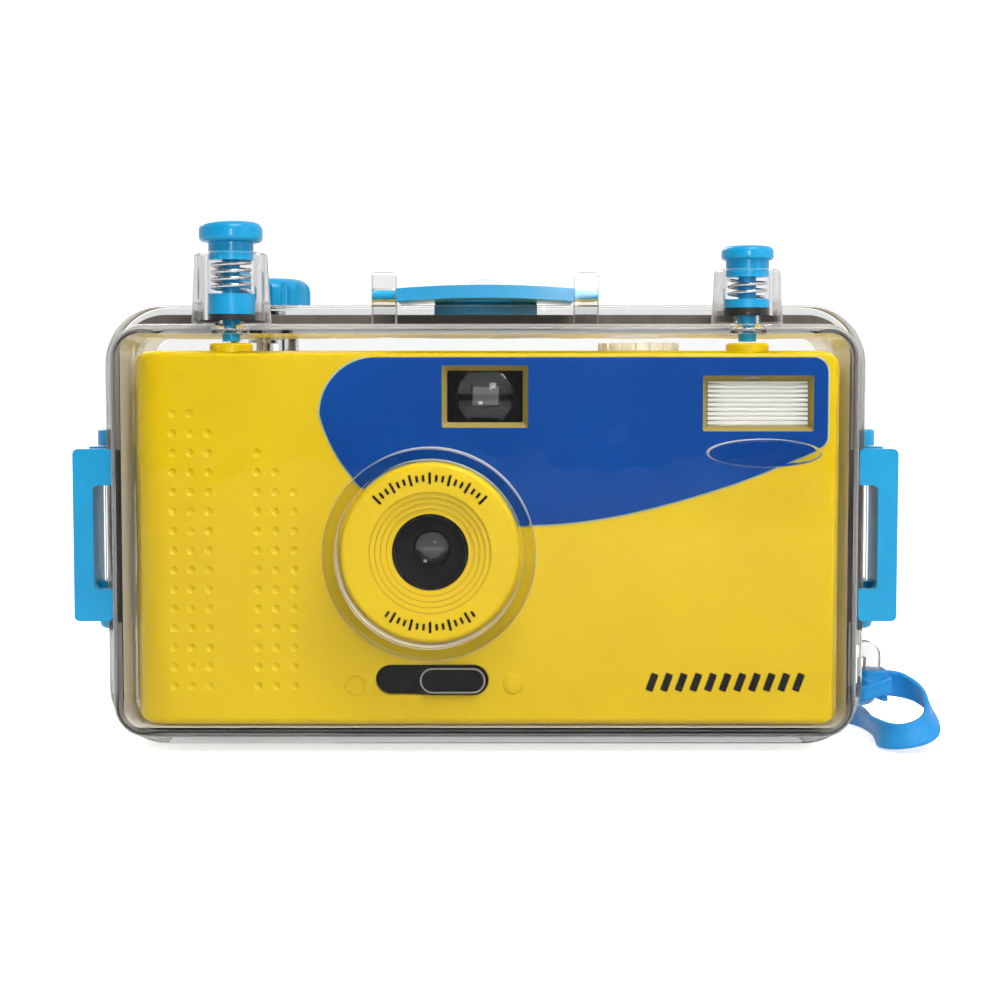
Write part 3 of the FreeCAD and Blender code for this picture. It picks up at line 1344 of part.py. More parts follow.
def battery_contacts():
    low = camera_bottom + camera_wall + slide_gap
    high = camera_bottom + camera_wall + 3 * body_gap + contact_thickness + battery_tall
    left = battery_x - contact_half
    right = battery_x + contact_half
    near = battery_y - contact_half
    far = battery_y + contact_half
    bottom = block(left, right, near, far, low, low + contact_thickness)
    top = block(left, right, near, far, high, high + contact_thickness)
    leg = block(battery_x - contact_tab_half, battery_x + contact_tab_half, far - contact_tab_depth, far, high,
                camera_top - camera_wall - slide_gap)
    return Part.makeCompound([bottom, top.fuse(leg).removeSplitter()])


def camera_button(x):
    """The camera's own button right below the plunger, kept in by a collar."""
    top = camera_top + button_proud
    collar_top = camera_top - camera_wall - slide_gap
    button = rod(button_radius, (x, -tower_inset, collar_top - collar_thickness / 2), (0, 0, 1),
                 top - collar_top + collar_thickness / 2)
    button = rounded(button, 0.5, lambda edge, middle: middle.z > top - 0.01 and len(edge.Vertexes) == 1)
    collar = rod(button_collar, (x, -tower_inset, collar_top - collar_thickness), (0, 0, 1), collar_thickness)
    collar = collar.common(block(-flange_x, flange_x, camera_front + camera_wall + slide_gap, 0, 0, flange_height))
    return button.fuse(collar).removeSplitter()


def body_screws():
    """The screws that hold the cover to the chassis from below."""
    screws = []
    for x in screw_places:
        face = camera_bottom + screw_sink - screw_head_thickness
        head = rod(screw_head, (x, screw_y, face), (0, 0, 1), screw_head_thickness)
        slot = block(x - screw_head, x + screw_head, screw_y - screw_slot_half, screw_y + screw_slot_half,
                     face - 1, face + screw_slot_depth)
        shank = rod(screw_radius, (x, screw_y, camera_bottom + screw_sink - 0.1), (0, 0, 1), screw_long)
        screws.append(head.fuse(shank).removeSplitter().cut(slot))
    return Part.makeCompound(screws)


# Wrist strap

def strap_hitch():
    """The knot of the strap: a ring pulled tight round the outer bar of the lug."""
    bar_in = flange_x + lug_slot_in + lug_slot - slide_gap
    bar_out = lug_out + slide_gap
    near = lug_y - slide_gap
    far = lug_y + lug_thickness + slide_gap
    outer = block(bar_in - strap_thickness, bar_out + strap_thickness, near - strap_thickness,
                  far + strap_thickness, hitch_low, hitch_high)
    return outer.cut(block(bar_in, bar_out, near, far, hitch_low - 1, hitch_high + 1))


def bent_band(points, width, thickness):
    """A flat band on edge, along straight runs joined by tangent arcs; prints its length and radii."""
    corners = [V(*point) for point in points]
    edges = []
    radii = []
    start = corners[0]
    for before, corner, after in zip(corners, corners[1:], corners[2:]):
        back = (before - corner).normalize()
        ahead = (after - corner).normalize()
        half_turn = (math.pi - back.getAngle(ahead)) / 2
        trim = 0.45 * min((before - corner).Length, (after - corner).Length)
        enter = corner + back * trim
        leave = corner + ahead * trim
        radii.append(trim / math.tan(half_turn))
        edges.append(Part.LineSegment(start, enter).toShape())
        edges.append(arc_through(enter, corner, leave))
        start = leave
    edges.append(Part.LineSegment(start, corners[-1]).toShape())
    length = sum(edge.Length for edge in edges)
    x, y, z = points[0]
    low = z - width / 2
    high = z + width / 2
    section = Part.makePolygon([V(x, y - thickness / 2, low), V(x, y + thickness / 2, low),
                                V(x, y + thickness / 2, high), V(x, y - thickness / 2, high),
                                V(x, y - thickness / 2, low)])
    sweep = Part.BRepOffsetAPI.MakePipeShell(Part.Wire(edges))
    sweep.setBiNormalMode(V(0, 0, 1))
    sweep.add(section)
    sweep.build()
    sweep.makeSolid()
    band = sweep.shape()
    print("strap length", round(length, 1), "volume against section times length",
          round(band.Volume / (length * width * thickness), 3))
    print("strap radii", [round(radius, 1) for radius in radii])
    return band


def wrist_strap():
    return bent_band((strap_exit,) + strap_route + (strap_return,), strap_width, strap_thickness)


# Everything, by the name of its node

def make_nodes():
    nodes = {
        "front_shell": front_shell(),
        "back_shell": back_shell(),
        "shell_gasket": shell_gasket(),
        "latch_lever_right": latch_lever(),
        "latch_lever_left": mirrored(latch_lever()),
        "latch_pin_right": latch_pin(),
        "latch_pin_left": mirrored(latch_pin()),
        "top_hasp": top_hasp()}
    nodes.update(push_button("shutter", shutter_x, shutter_seat_rise, shutter_seal_height,
                             shutter_bushing_height, shutter_spring_length, shutter_spring_wire,
                             shutter_spring_turns, shutter_neck_radius, shutter_neck_height,
                             shutter_cap_radius, shutter_cap_height))
    nodes.update(push_button("flash", flash_x, flash_seat_rise, flash_seal_height,
                             flash_bushing_height, flash_spring_length, flash_spring_wire,
                             flash_spring_turns, flash_neck_radius, flash_neck_height,
                             flash_cap_radius, flash_cap_height))
    nodes.update(wind_pieces())
    nodes.update({
        "camera_front_cover": camera_front_cover(),
        "front_label": front_label(),
        "camera_back_door": camera_back_door(),
        "cover_slider": cover_slider(),
        "lens_hood": lens_hood(),
        "lens_cover": lens_cover(),
        "lens_board": lens_board(),
        "front_lens": front_lens(),
        "shutter_blade": shutter_blade(),
        "chassis": chassis(),
        "rear_lens": rear_lens(),
        "sprocket": sprocket(),
        "take_up_spool": take_up_spool(),
        "film_cartridge": film_cartridge(),
        "rewind_knob": rewind_knob(),
        "pressure_plate": pressure_plate(),
        "pressure_spring": pressure_spring(),
        "frame_counter": frame_counter(),
        "finder_tunnel": finder_tunnel(),
        "finder_front_lens": finder_front_lens(),
        "finder_rear_lens": finder_rear_lens(),
        "flash_lens": flash_lens(),
        "flash_reflector": flash_reflector(),
        "flash_tube": flash_tube(),
        "flash_board": flash_board(),
        "flash_capacitor": flash_capacitor(),
        "battery_cell": battery_cell(),
        "battery_contacts": battery_contacts(),
        "camera_shutter_button": camera_button(shutter_x),
        "camera_flash_button": camera_button(flash_x),
        "body_screws": body_screws(),
        "strap_hitch": strap_hitch(),
        "wrist_strap": wrist_strap()})
    return nodes


for node_name, node_shape in make_nodes().items():
    save(node_name, node_shape)
print("parting plane at y =", round(parting_y, 3))
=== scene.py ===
# %% [markdown]
# # A film camera in its waterproof housing
# The object is a simple 35 mm flash camera, yellow with a blue label, shut inside two clear plastic
# shells. Blue push buttons, latches and a knob work the camera from outside, and a flat blue strap
# hangs on a lug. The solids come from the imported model. This script gives each of them its finish and
# adds what is too fine or too soft for the solids: dimples, printed marks, the label's pale edge and
# the woven strap. Everything is in metres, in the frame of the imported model.

# %% Load the frame
import bpy
import bmesh
import math
from mathutils import Matrix, Vector


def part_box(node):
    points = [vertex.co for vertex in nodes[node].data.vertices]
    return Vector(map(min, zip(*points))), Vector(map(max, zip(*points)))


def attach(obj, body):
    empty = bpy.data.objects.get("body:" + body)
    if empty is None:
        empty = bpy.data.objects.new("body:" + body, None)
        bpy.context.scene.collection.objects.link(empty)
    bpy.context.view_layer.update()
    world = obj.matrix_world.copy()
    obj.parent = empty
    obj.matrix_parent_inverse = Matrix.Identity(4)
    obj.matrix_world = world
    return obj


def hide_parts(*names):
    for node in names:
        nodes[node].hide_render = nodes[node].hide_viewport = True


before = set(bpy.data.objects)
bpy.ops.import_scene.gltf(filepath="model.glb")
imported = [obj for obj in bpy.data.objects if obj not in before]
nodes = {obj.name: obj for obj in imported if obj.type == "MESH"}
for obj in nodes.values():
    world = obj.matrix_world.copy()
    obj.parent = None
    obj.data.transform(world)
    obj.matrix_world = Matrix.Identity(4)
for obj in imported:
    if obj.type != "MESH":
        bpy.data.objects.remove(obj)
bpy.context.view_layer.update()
mm = 0.001


def new_object(name, data):
    """An object with this data, linked to the scene."""
    made = bpy.data.objects.new(name, data)
    bpy.context.scene.collection.objects.link(made)
    return made


# %% [markdown]
# ## Where things are
# The two shells meet in one plane, and the strap's route is given relative to it. This and the lens
# axis, the barrel's front and the camera's flat face are read from the boxes of the solids, so nothing
# needs to be fitted by eye.

# %% Key places
parting_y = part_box("front_shell")[1].y
barrel_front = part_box("camera_front_cover")[0].y
camera_front, label_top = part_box("front_label")[1].yz
hood_low, hood_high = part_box("lens_hood")
lens_x = (hood_low.x + hood_high.x) / 2
lens_z = (hood_low.z + hood_high.z) / 2
print("parting plane", round(parting_y, 5), "lens axis", round(lens_x, 4), round(lens_z, 4))

# %% [markdown]
# ## The camera that takes the picture
# The photograph looks at the front from a little above. Its scale changes with depth as it does for a
# lens of 64.8 mm on a 36 mm sensor at about 0.31 m, so the view keeps the same perspective.

# %% Viewpoint
view_distance = 314 * mm
view_offset = 2.5 * mm
view_height = 61.9 * mm
view_fall = 0.0625
view_lens = 64.8
view_sensor = 36
view_data = bpy.data.cameras.new("view")
view_data.sensor_width = view_sensor
view_data.lens = view_lens
view_data.clip_start = 10 * mm
view = new_object("view", view_data)
view.location = (view_offset, parting_y - view_distance, view_height)
view.rotation_euler = (math.pi / 2 - math.atan(view_fall), 0, 0)
bpy.context.scene.camera = view
bpy.context.scene.view_settings.view_transform = "Standard"
print("view from", [round(c, 4) for c in view.location], "falling", view_fall, "per metre")

# %% [markdown]
# ## Helpers for node materials
# Every finish here is a Principled shader with small, slow changes on top. Object coordinates carry
# the patterns, because each piece keeps its place in its own mesh and so the pattern stays put. The
# helpers below make one or two nodes each, so that a finish reads as a few short lines.

# %% Material helpers
def linear(red, green, blue):
    """A colour picked as 0 to 255 values, turned into the shader's linear values."""
    return tuple(((c / 255 + 0.055) / 1.055) ** 2.4 if c > 10 else c / 255 / 12.92
                 for c in (red, green, blue))


def shader_of(material):
    return material.node_tree.nodes["Principled BSDF"]


def output_of(material):
    return material.node_tree.nodes["Material Output"]


def finish(name, colour, roughness, **sockets):
    """A new material; further sockets of its shader are named with _ for a space."""
    material = bpy.data.materials.new(name)
    material.use_nodes = True
    shader = shader_of(material)
    shader.inputs["Base Color"].default_value = (*colour, 1)
    shader.inputs["Roughness"].default_value = roughness
    for socket, value in sockets.items():
        shader.inputs[socket.replace("_", " ")].default_value = value
    return material


def add_node(material, kind, **settings):
    node = material.node_tree.nodes.new("ShaderNode" + kind)
    for key, value in settings.items():
        setattr(node, key, value)
    return node


def join(material, output, target):
    material.node_tree.links.new(output, target)


def math_node(material, operation, *values):
    """One Math node; each input is a socket or a number."""
    step = add_node(material, "Math", operation=operation)
    for slot, value in enumerate(values):
        if isinstance(value, bpy.types.NodeSocket):
            join(material, value, step.inputs[slot])
        else:
            step.inputs[slot].default_value = value
    return step.outputs[0]


def map_range(material, source, given, wanted):
    """Carry a value from the given range over to the wanted one, and no further than its ends."""
    spread = add_node(material, "MapRange")
    for label, value in zip(("From Min", "From Max", "To Min", "To Max"), (*given, *wanted)):
        spread.inputs[label].default_value = value
    join(material, source, spread.inputs["Value"])
    return spread.outputs["Result"]


def mix_shaders(material, share, first, second):
    """Show the first shader where the share is 0 and the second where it is 1."""
    blend = add_node(material, "MixShader")
    for slot, source in enumerate((share, first, second)):
        join(material, source, blend.inputs[slot])
    return blend.outputs[0]


def object_place(material):
    """The Object coordinates of the surface, as a Texture Coordinate node and its x, y and z."""
    place = add_node(material, "TexCoord")
    parts = add_node(material, "SeparateXYZ")
    join(material, place.outputs["Object"], parts.inputs[0])
    return place, parts.outputs


# %% Patterns
noise_span = (0.3, 0.7)


def noise(material, scale, detail=3.0):
    """Noise on Object coordinates; scale is in features per metre."""
    place = add_node(material, "TexCoord")
    field = add_node(material, "TexNoise")
    field.inputs["Scale"].default_value = scale
    field.inputs["Detail"].default_value = detail
    join(material, place.outputs["Object"], field.inputs["Vector"])
    return field.outputs["Fac"]


def vary_roughness(material, scale, low, high):
    """Let the roughness wander between two values."""
    spread = map_range(material, noise(material, scale), noise_span, (low, high))
    join(material, spread, shader_of(material).inputs["Roughness"])


def tint(material, share, colour):
    """Lay another colour over the base colour, as far as the share says."""
    base = shader_of(material).inputs["Base Color"]
    blend = add_node(material, "Mix", data_type="RGBA")
    share_in, under, over = (blend.inputs[slot] for slot in (0, 6, 7))
    if base.is_linked:
        join(material, base.links[0].from_socket, under)
    else:
        under.default_value = base.default_value
    over.default_value = (*colour, 1)
    join(material, share, share_in)
    join(material, blend.outputs[2], base)


def vary_colour(material, scale, other, share):
    """Let patches of a second colour show through, up to the given share."""
    tint(material, map_range(material, noise(material, scale), noise_span, (0.0, share)), other)


def bump(material, source, depth):
    """Raise the surface by a depth in metres where the source is 1."""
    relief = add_node(material, "Bump")
    relief.inputs["Distance"].default_value = depth
    join(material, source, relief.inputs["Height"])
    join(material, relief.outputs["Normal"], shader_of(material).inputs["Normal"])


print("yellow (230, 196, 2) is", [round(c, 3) for c in linear(230, 196, 2)], "to the shader")

# %% [markdown]
# ## Clear plastic
# The shells are solid walls with real thickness, so full transmission draws the dark and bright lines
# along each edge by itself. An index of 1.4, a little under that of acrylic, makes those lines as
# strong as the photograph shows them. Moulded plastic is never quite flat, and slow waves in the
# surface bend the lines a little. Lamps can't be found through bent glass in a few samples, so shadow
# rays go straight through. The real housing mirrors little, so the reflections are toned down.
# Thick plastic is also faintly smoky, which the absorption inside the walls gives to long edges only.

# %% Clear finishes
acrylic_index = 1.49
shell_index = 1.4
wave_depth = 0.12 * mm
smoke_colour = (0.0, 0.02, 0.04)
smoke_density = 38.0


def clear_finish(name, colour, roughness, index, pass_light, mirror=0.2):
    """Clear plastic; mirror is the strength of its reflections, pass_light what a shadow ray keeps."""
    material = finish(name, colour, roughness, Transmission_Weight=1.0, IOR=index,
                      Specular_Tint=(mirror, mirror, mirror, 1))
    rays = add_node(material, "LightPath")
    through = add_node(material, "BsdfTransparent")
    through.inputs["Color"].default_value = (pass_light, pass_light, pass_light, 1)
    either = mix_shaders(material, rays.outputs["Is Shadow Ray"], shader_of(material).outputs[0],
                         through.outputs[0])
    join(material, either, output_of(material).inputs["Surface"])
    return material


housing_clear = clear_finish("housing_clear", (0.985, 0.985, 0.98), 0.02, shell_index, 0.93)
bump(housing_clear, noise(housing_clear, 110, 1.5), wave_depth)
smoke = add_node(housing_clear, "VolumeAbsorption")
smoke.inputs["Color"].default_value = (*smoke_colour, 1)
smoke.inputs["Density"].default_value = smoke_density
join(housing_clear, smoke.outputs[0], output_of(housing_clear).inputs["Volume"])
print(housing_clear.name, "with", len(housing_clear.node_tree.nodes), "nodes")

# %% [markdown]
# The walls that run away from the viewer were drawn along the mould, which leaves a faint haze of fine
# scratches. Looked through squarely they stay clear, and at a glancing angle the scratches close up
# to a pale film, so the haze is a diffuse share that grows with the angle. It is stronger on the box
# than on the button towers, which are polished. The strap's lug is short and thick and stands before
# a white table, where clear plastic would vanish, so it carries a little haze from every side.

# %% Haze of the shells
haze_colour = linear(236, 233, 228)
haze_on_towers = 0.55
haze_on_box = 0.8
haze_on_lug = 0.3
tower_foot = 75.5 * mm
lug_root = 66.0 * mm
lug_top = 24.0 * mm
drawn_wall = (0.3, 0.8)

place, spot = object_place(housing_clear)
below_towers = math_node(housing_clear, "LESS_THAN", spot["Z"], tower_foot)
on_side = math_node(housing_clear, "GREATER_THAN", spot["X"], lug_root)
on_foot = math_node(housing_clear, "LESS_THAN", spot["Z"], lug_top)
on_lug = math_node(housing_clear, "MULTIPLY", on_side, on_foot)
normal = add_node(housing_clear, "SeparateXYZ")
join(housing_clear, place.outputs["Normal"], normal.inputs[0])
faces_viewer = math_node(housing_clear, "ABSOLUTE", normal.outputs["Y"])
drawn = map_range(housing_clear, faces_viewer, drawn_wall, (haze_on_towers, 0.0))
more = math_node(housing_clear, "MULTIPLY_ADD", below_towers, haze_on_box / haze_on_towers - 1.0, 1.0)
glance = add_node(housing_clear, "LayerWeight")
glancing = math_node(housing_clear, "POWER", glance.outputs["Facing"], 2.0)
on_walls = math_node(housing_clear, "MULTIPLY", math_node(housing_clear, "MULTIPLY", drawn, more), glancing)
haze_share = math_node(housing_clear, "MULTIPLY_ADD", on_lug, haze_on_lug, on_walls)
haze = add_node(housing_clear, "BsdfDiffuse")
haze.inputs["Color"].default_value = (*haze_colour, 1)
lit_side = shader_of(housing_clear).outputs[0].links[0].to_socket
hazy = mix_shaders(housing_clear, haze_share, shader_of(housing_clear).outputs[0], haze.outputs[0])
join(housing_clear, hazy, lit_side)
print("haze on the shells, up to", haze_on_box)

# %% [markdown]
# The lenses are polished acrylic with a thin coating, which puts one clear glint on each. Light that
# enters the finder is lost in its dark tunnel, so its rear lens is tinted nearly black as painted shade.
# The flash pane is half milky: its ribs scatter the light, so only part of it goes straight through.

# %% Lenses and panes
lens_coat = 0.35
lens_coat_roughness = 0.02
pane_cream = (0.97, 0.96, 0.9)
pane_clearness = 0.35
lens_clear = clear_finish("lens_clear", (0.97, 0.98, 0.98), 0.01, acrylic_index, 0.95, mirror=0.6)
shader_of(lens_clear).inputs["Coat Weight"].default_value = lens_coat
shader_of(lens_clear).inputs["Coat Roughness"].default_value = lens_coat_roughness
# Painted shade: the finder's rear lens is tinted nearly black for its dark tunnel.
finder_shaded_clear = clear_finish("finder_shaded_clear", (0.12, 0.12, 0.125), 0.02, acrylic_index, 0.3, mirror=0.3)
flash_clear = clear_finish("flash_clear", pane_cream, 0.06, acrylic_index, 0.95)
shader_of(flash_clear).inputs["Transmission Weight"].default_value = pane_clearness
print("clear finishes:", [clear.name for clear in (housing_clear, lens_clear, finder_shaded_clear, flash_clear)])

# %% [markdown]
# The flash pane has moulded ribs. Their valleys look dark, most of all at the two ends where the
# reflector closes in, and this darkness is painted shade. A sine wave up the pane marks the valleys, and
# a high power of it keeps them narrow. The painted shade then grows from the pane's middle towards its ends.

# %% Rib shading of the flash pane
pane_ribs = 10
pane_border = 1.4 * mm
valley_sharpness = 5.0
valley_shade_colour = linear(44, 38, 30)
shade_reach = (5.6 * mm, 8.4 * mm)
shade_share = (0.3, 1.0)
pane_low, pane_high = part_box("flash_lens")
rib_pitch = (pane_high.z - pane_low.z - pane_border) / pane_ribs
place, spot = object_place(flash_clear)
wave = math_node(flash_clear, "SINE", math_node(flash_clear, "MULTIPLY", spot["Z"], math.tau / rib_pitch))
valley = math_node(flash_clear, "POWER", math_node(flash_clear, "MULTIPLY_ADD", wave, 0.5, 0.5),
                   valley_sharpness)
sideways = math_node(flash_clear, "SUBTRACT", spot["X"], (pane_low.x + pane_high.x) / 2)
ends = map_range(flash_clear, math_node(flash_clear, "ABSOLUTE", sideways), shade_reach, shade_share)
# Painted shade in the rib valleys, darkest towards the ends.
tint(flash_clear, math_node(flash_clear, "MULTIPLY", valley, ends), valley_shade_colour)
print("ribs", round(rib_pitch * 1000, 3), "mm apart")

# %% [markdown]
# ## Coloured plastics, rubber and metal
# The camera is moulded in a yellow with a soft satin grain. The working parts of the housing are a
# glossier light blue. Black parts, the steel springs and the rubber gasket each get their own gloss
# and a little unevenness, because a perfectly even surface is what makes plastic look drawn.

# %% The camera's yellow
grain_depth = 0.01 * mm
yellow = finish("camera_yellow", linear(230, 196, 2), 0.3, Specular_IOR_Level=0.2)
vary_colour(yellow, 35, linear(220, 184, 1), 0.8)
bump(yellow, noise(yellow, 2600, 2), grain_depth)
print(yellow.name, "with", len(yellow.node_tree.nodes), "nodes")

# %% [markdown]
# The barrel round the lens is turned in fine steps, and shade gathers in their corners. Each
# step is a ring of known radius about the lens axis, so a narrow band at each radius gets painted shade.
# The windows lie in shallow recesses whose floors look duller, because little light reaches them under
# the clear port, so they get painted shade too. They are rectangles round the two panes. Both painted
# shades are kept to the camera's front.

# %% Shaded steps and recesses
step_radii = (10.0, 9.1, 8.2, 7.25)
step_line = 0.1 * mm
step_shade_share = 0.6
step_shade_colour = linear(176, 140, 8)
barrel_axis = (-9.0 * mm, 34.8 * mm)
window_rim = 1.2 * mm
recess_shade_share = 0.8
recess_shade_colour = linear(156, 142, 90)

place, spot = object_place(yellow)
from_axis = add_node(yellow, "VectorMath", operation="MULTIPLY_ADD")
join(yellow, place.outputs["Object"], from_axis.inputs[0])
from_axis.inputs[1].default_value = (1, 0, 1)
from_axis.inputs[2].default_value = (-barrel_axis[0], 0, -barrel_axis[1])
reach = add_node(yellow, "VectorMath", operation="LENGTH")
join(yellow, from_axis.outputs[0], reach.inputs[0])
on_front = math_node(yellow, "LESS_THAN", spot["Y"], 0.0)
on_step = 0.0
for radius in step_radii:
    close = math_node(yellow, "COMPARE", reach.outputs["Value"], radius * mm, step_line)
    on_step = math_node(yellow, "MAXIMUM", on_step, close)
shaded = math_node(yellow, "MULTIPLY", math_node(yellow, "MULTIPLY", on_step, step_shade_share), on_front)
# Painted shade: a darker band along the foot of each step.
tint(yellow, shaded, step_shade_colour)


def within(axis, low, high):
    """1 where the surface lies between the pane's two sides, or in the rim round them."""
    return math_node(yellow, "COMPARE", spot[axis], (low + high) / 2, (high - low) / 2 + window_rim)


for pane in ("finder_front_lens", "flash_lens"):
    low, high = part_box(pane)
    inside = math_node(yellow, "MULTIPLY", within("X", low.x, high.x), within("Z", low.z, high.z))
    # Painted shade on the floors and rims of the window recesses.
    recess = math_node(yellow, "MULTIPLY", inside, recess_shade_share)
    tint(yellow, math_node(yellow, "MULTIPLY", recess, on_front), recess_shade_colour)
print(len(step_radii), "steps and 2 recesses shaded")

# %% [markdown]
# The other plastics and rubbers differ mostly in gloss. Each has a second, slightly different colour
# or a roughness that wanders, at the scale of its own grain. Metals get a higher share of reflection.

# %% Plastic and rubber finishes
label_blue = finish("label_blue", linear(0, 64, 144), 0.4, Specular_IOR_Level=0.08)
vary_colour(label_blue, 45, linear(0, 76, 158), 0.7)

label_edge = finish("label_edge", linear(170, 195, 165), 0.4)
vary_colour(label_edge, 400, linear(205, 205, 130), 0.6)

light_blue = finish("light_blue", linear(18, 164, 220), 0.3, Specular_IOR_Level=0.3, Coat_Weight=0.1,
                    Coat_Roughness=0.1)
vary_colour(light_blue, 120, linear(14, 152, 208), 0.8)
bump(light_blue, noise(light_blue, 900, 2), grain_depth)

black_plastic = finish("black_plastic", linear(14, 12, 12), 0.35, Specular_IOR_Level=0.08)
vary_roughness(black_plastic, 300, 0.28, 0.45)

black_gloss = finish("black_gloss", linear(9, 8, 8), 0.3, Specular_IOR_Level=0.06)
vary_colour(black_gloss, 200, linear(20, 17, 16), 0.6)

black_matt = finish("black_matt", linear(10, 9, 9), 0.7, Specular_IOR_Level=0.1)
vary_roughness(black_matt, 400, 0.6, 0.8)

white_plastic = finish("white_plastic", linear(222, 222, 216), 0.4)
vary_colour(white_plastic, 200, linear(205, 205, 200), 0.5)

# Painted light: the gasket's grey is lighter than the rubber itself, to make up for the little light that
# reaches it between the flanges.
gasket_rubber = finish("gasket_rubber", linear(175, 165, 156), 0.6)
vary_colour(gasket_rubber, 500, linear(150, 140, 131), 0.7)

seal_rubber = finish("seal_rubber", linear(18, 18, 18), 0.45)
vary_roughness(seal_rubber, 500, 0.35, 0.55)
print("materials in the file so far:", len(bpy.data.materials))

# %% Metal and inner finishes
blade_black = finish("blade_black", linear(16, 16, 18), 0.6, Specular_IOR_Level=0.1)
vary_roughness(blade_black, 500, 0.4, 0.6)

spring_steel = finish("spring_steel", linear(205, 205, 208), 0.18, Metallic=1.0)
vary_roughness(spring_steel, 1500, 0.12, 0.3)

bright_metal = finish("bright_metal", linear(248, 246, 238), 0.3, Metallic=1.0)
vary_roughness(bright_metal, 700, 0.25, 0.4)

can_green = finish("can_green", linear(60, 110, 80), 0.3, Metallic=0.4)
vary_colour(can_green, 150, linear(45, 92, 66), 0.5)

cell_grey = finish("cell_grey", linear(120, 122, 126), 0.3, Metallic=0.6)
vary_roughness(cell_grey, 400, 0.22, 0.4)

board_green = finish("board_green", linear(40, 100, 60), 0.45)
vary_colour(board_green, 800, linear(70, 120, 70), 0.5)
print("materials with the metals:", len(bpy.data.materials), "with the model's own plain ones")

# %% [markdown]
# ## Who wears what
# The solids keep their shape and only get a better material. One table says which solids share a
# finish, and a loop puts it on.

# %% Dress the solids
dress = {
    housing_clear: ("clear_plastic", "front_shell back_shell"),
    lens_clear: ("clear_lens", "front_lens rear_lens finder_front_lens flash_tube"),
    finder_shaded_clear: ("clear_lens", "finder_rear_lens"),
    flash_clear: ("clear_lens", "flash_lens"),
    gasket_rubber: ("gasket_rubber", "shell_gasket"),
    seal_rubber: ("gasket_rubber", "shutter_seal flash_seal wind_seal"),
    light_blue: ("blue_plastic", "latch_lever_right latch_lever_left latch_pin_right latch_pin_left top_hasp "
                 "shutter_plunger shutter_bushing flash_plunger flash_bushing wind_knob wind_gear"),
    spring_steel: ("steel", "shutter_spring flash_spring shutter_clip flash_clip wind_clip wind_shaft "
                   "battery_contacts pressure_spring body_screws"),
    yellow: ("yellow_plastic", "camera_front_cover camera_back_door camera_shutter_button "
             "camera_flash_button"),
    label_blue: ("label_blue", "front_label"),
    black_plastic: ("black_plastic", "lens_cover chassis take_up_spool pressure_plate thumb_wheel"),
    black_matt: ("black_plastic", "lens_board finder_tunnel"),
    blade_black: ("steel", "shutter_blade"),
    black_gloss: ("black_plastic", "cover_slider lens_hood flash_capacitor"),
    white_plastic: ("white_plastic", "sprocket frame_counter rewind_knob"),
    bright_metal: ("reflector_chrome", "flash_reflector"),
    can_green: ("cartridge_metal", "film_cartridge"),
    cell_grey: ("cell_metal", "battery_cell"),
    board_green: ("board_green", "flash_board"),
}
for material, (slot, names) in dress.items():
    for name in names.split():
        solid = nodes[name]
        solid.data.materials.clear()
        solid.data.materials.append(material)
print("dressed", sum(len(names.split()) for slot, names in dress.values()), "solids")

# %% [markdown]
# ## Grip dimples
# The winding end of the cover has two groups of small round dimples, which give the hand some grip.
# A grid with a few rows left out says where they are. Geometry Nodes put one low-poly ball on each
# point and cut them all from the cover in one boolean, so the dimples are real hollows.

# %% Dimple places
dimple_pitch = 3.255
dimple_rows = 15
dimple_top = 57.6
dimple_columns = ((-51.9, 0), (-49.0, 0), (-46.0, 1), (-37.9, 2), (-34.9, 3), (-31.8, 4))
dimple_radius = 1.3
dimple_sink = 0.24
ball_middle = camera_front - (dimple_radius - dimple_sink) * mm
dimple_places = [(x * mm, ball_middle, (dimple_top - row * dimple_pitch) * mm)
                 for x, first in dimple_columns for row in range(first, dimple_rows)]
print(len(dimple_places), "dimples, camera face at y =", round(camera_front * 1000, 2), "mm")

# %% [markdown]
# A tree of Geometry Nodes is a recipe with a few named sizes. The helper below builds such a tree in
# short calls, and grow() runs it once and keeps the result as a plain mesh, so that nothing live is
# left on the finished piece.

# %% Node tree helpers
class Tree:
    """A Geometry Nodes tree with named number inputs and short calls to add and join nodes."""

    def __init__(self, name, **numbers):
        self.group = bpy.data.node_groups.new(name, "GeometryNodeTree")
        self.group.interface.new_socket("Geometry", in_out="INPUT", socket_type="NodeSocketGeometry")
        self.sockets = {}
        for label, value in numbers.items():
            socket = self.group.interface.new_socket(label, in_out="INPUT", socket_type="NodeSocketFloat")
            socket.default_value = value
            self.sockets[label] = (socket.identifier, value)
        self.group.interface.new_socket("Geometry", in_out="OUTPUT", socket_type="NodeSocketGeometry")
        self.given = self.group.nodes.new("NodeGroupInput")
        self.result = self.group.nodes.new("NodeGroupOutput")

    def add(self, kind, settings=None, **inputs):
        node = self.group.nodes.new(kind)
        for key, value in (settings or {}).items():
            setattr(node, key, value)
        for key, value in inputs.items():
            socket = node.inputs[key.replace("_", " ")]
            if isinstance(value, bpy.types.NodeSocket):
                self.group.links.new(value, socket)
            else:
                socket.default_value = value
        return node.outputs

    def number(self, label):
        return self.given.outputs[label]

    def end(self, geometry, material):
        real = self.add("GeometryNodeRealizeInstances", Geometry=geometry)
        done = self.add("GeometryNodeSetMaterial", Geometry=real[0], Material=material)
        self.group.links.new(done[0], self.result.inputs[0])


def grow(name, start, tree):
    """Run a tree on a mesh and keep what comes out as a plain mesh."""
    carrier = new_object(name + "_carrier", start)
    modifier = carrier.modifiers.new(name, "NODES")
    modifier.node_group = tree.group
    for identifier, value in tree.sockets.values():
        modifier[identifier] = value
    graph = bpy.context.evaluated_depsgraph_get()
    graph.update()
    mesh = bpy.data.meshes.new_from_object(carrier.evaluated_get(graph), depsgraph=graph)
    mesh.name = name
    bpy.data.objects.remove(carrier)
    print(name, len(mesh.polygons), "faces")
    return new_object(name, mesh)


def point_mesh(name, places):
    mesh = bpy.data.meshes.new(name)
    mesh.from_pydata(places, [], [])
    return mesh


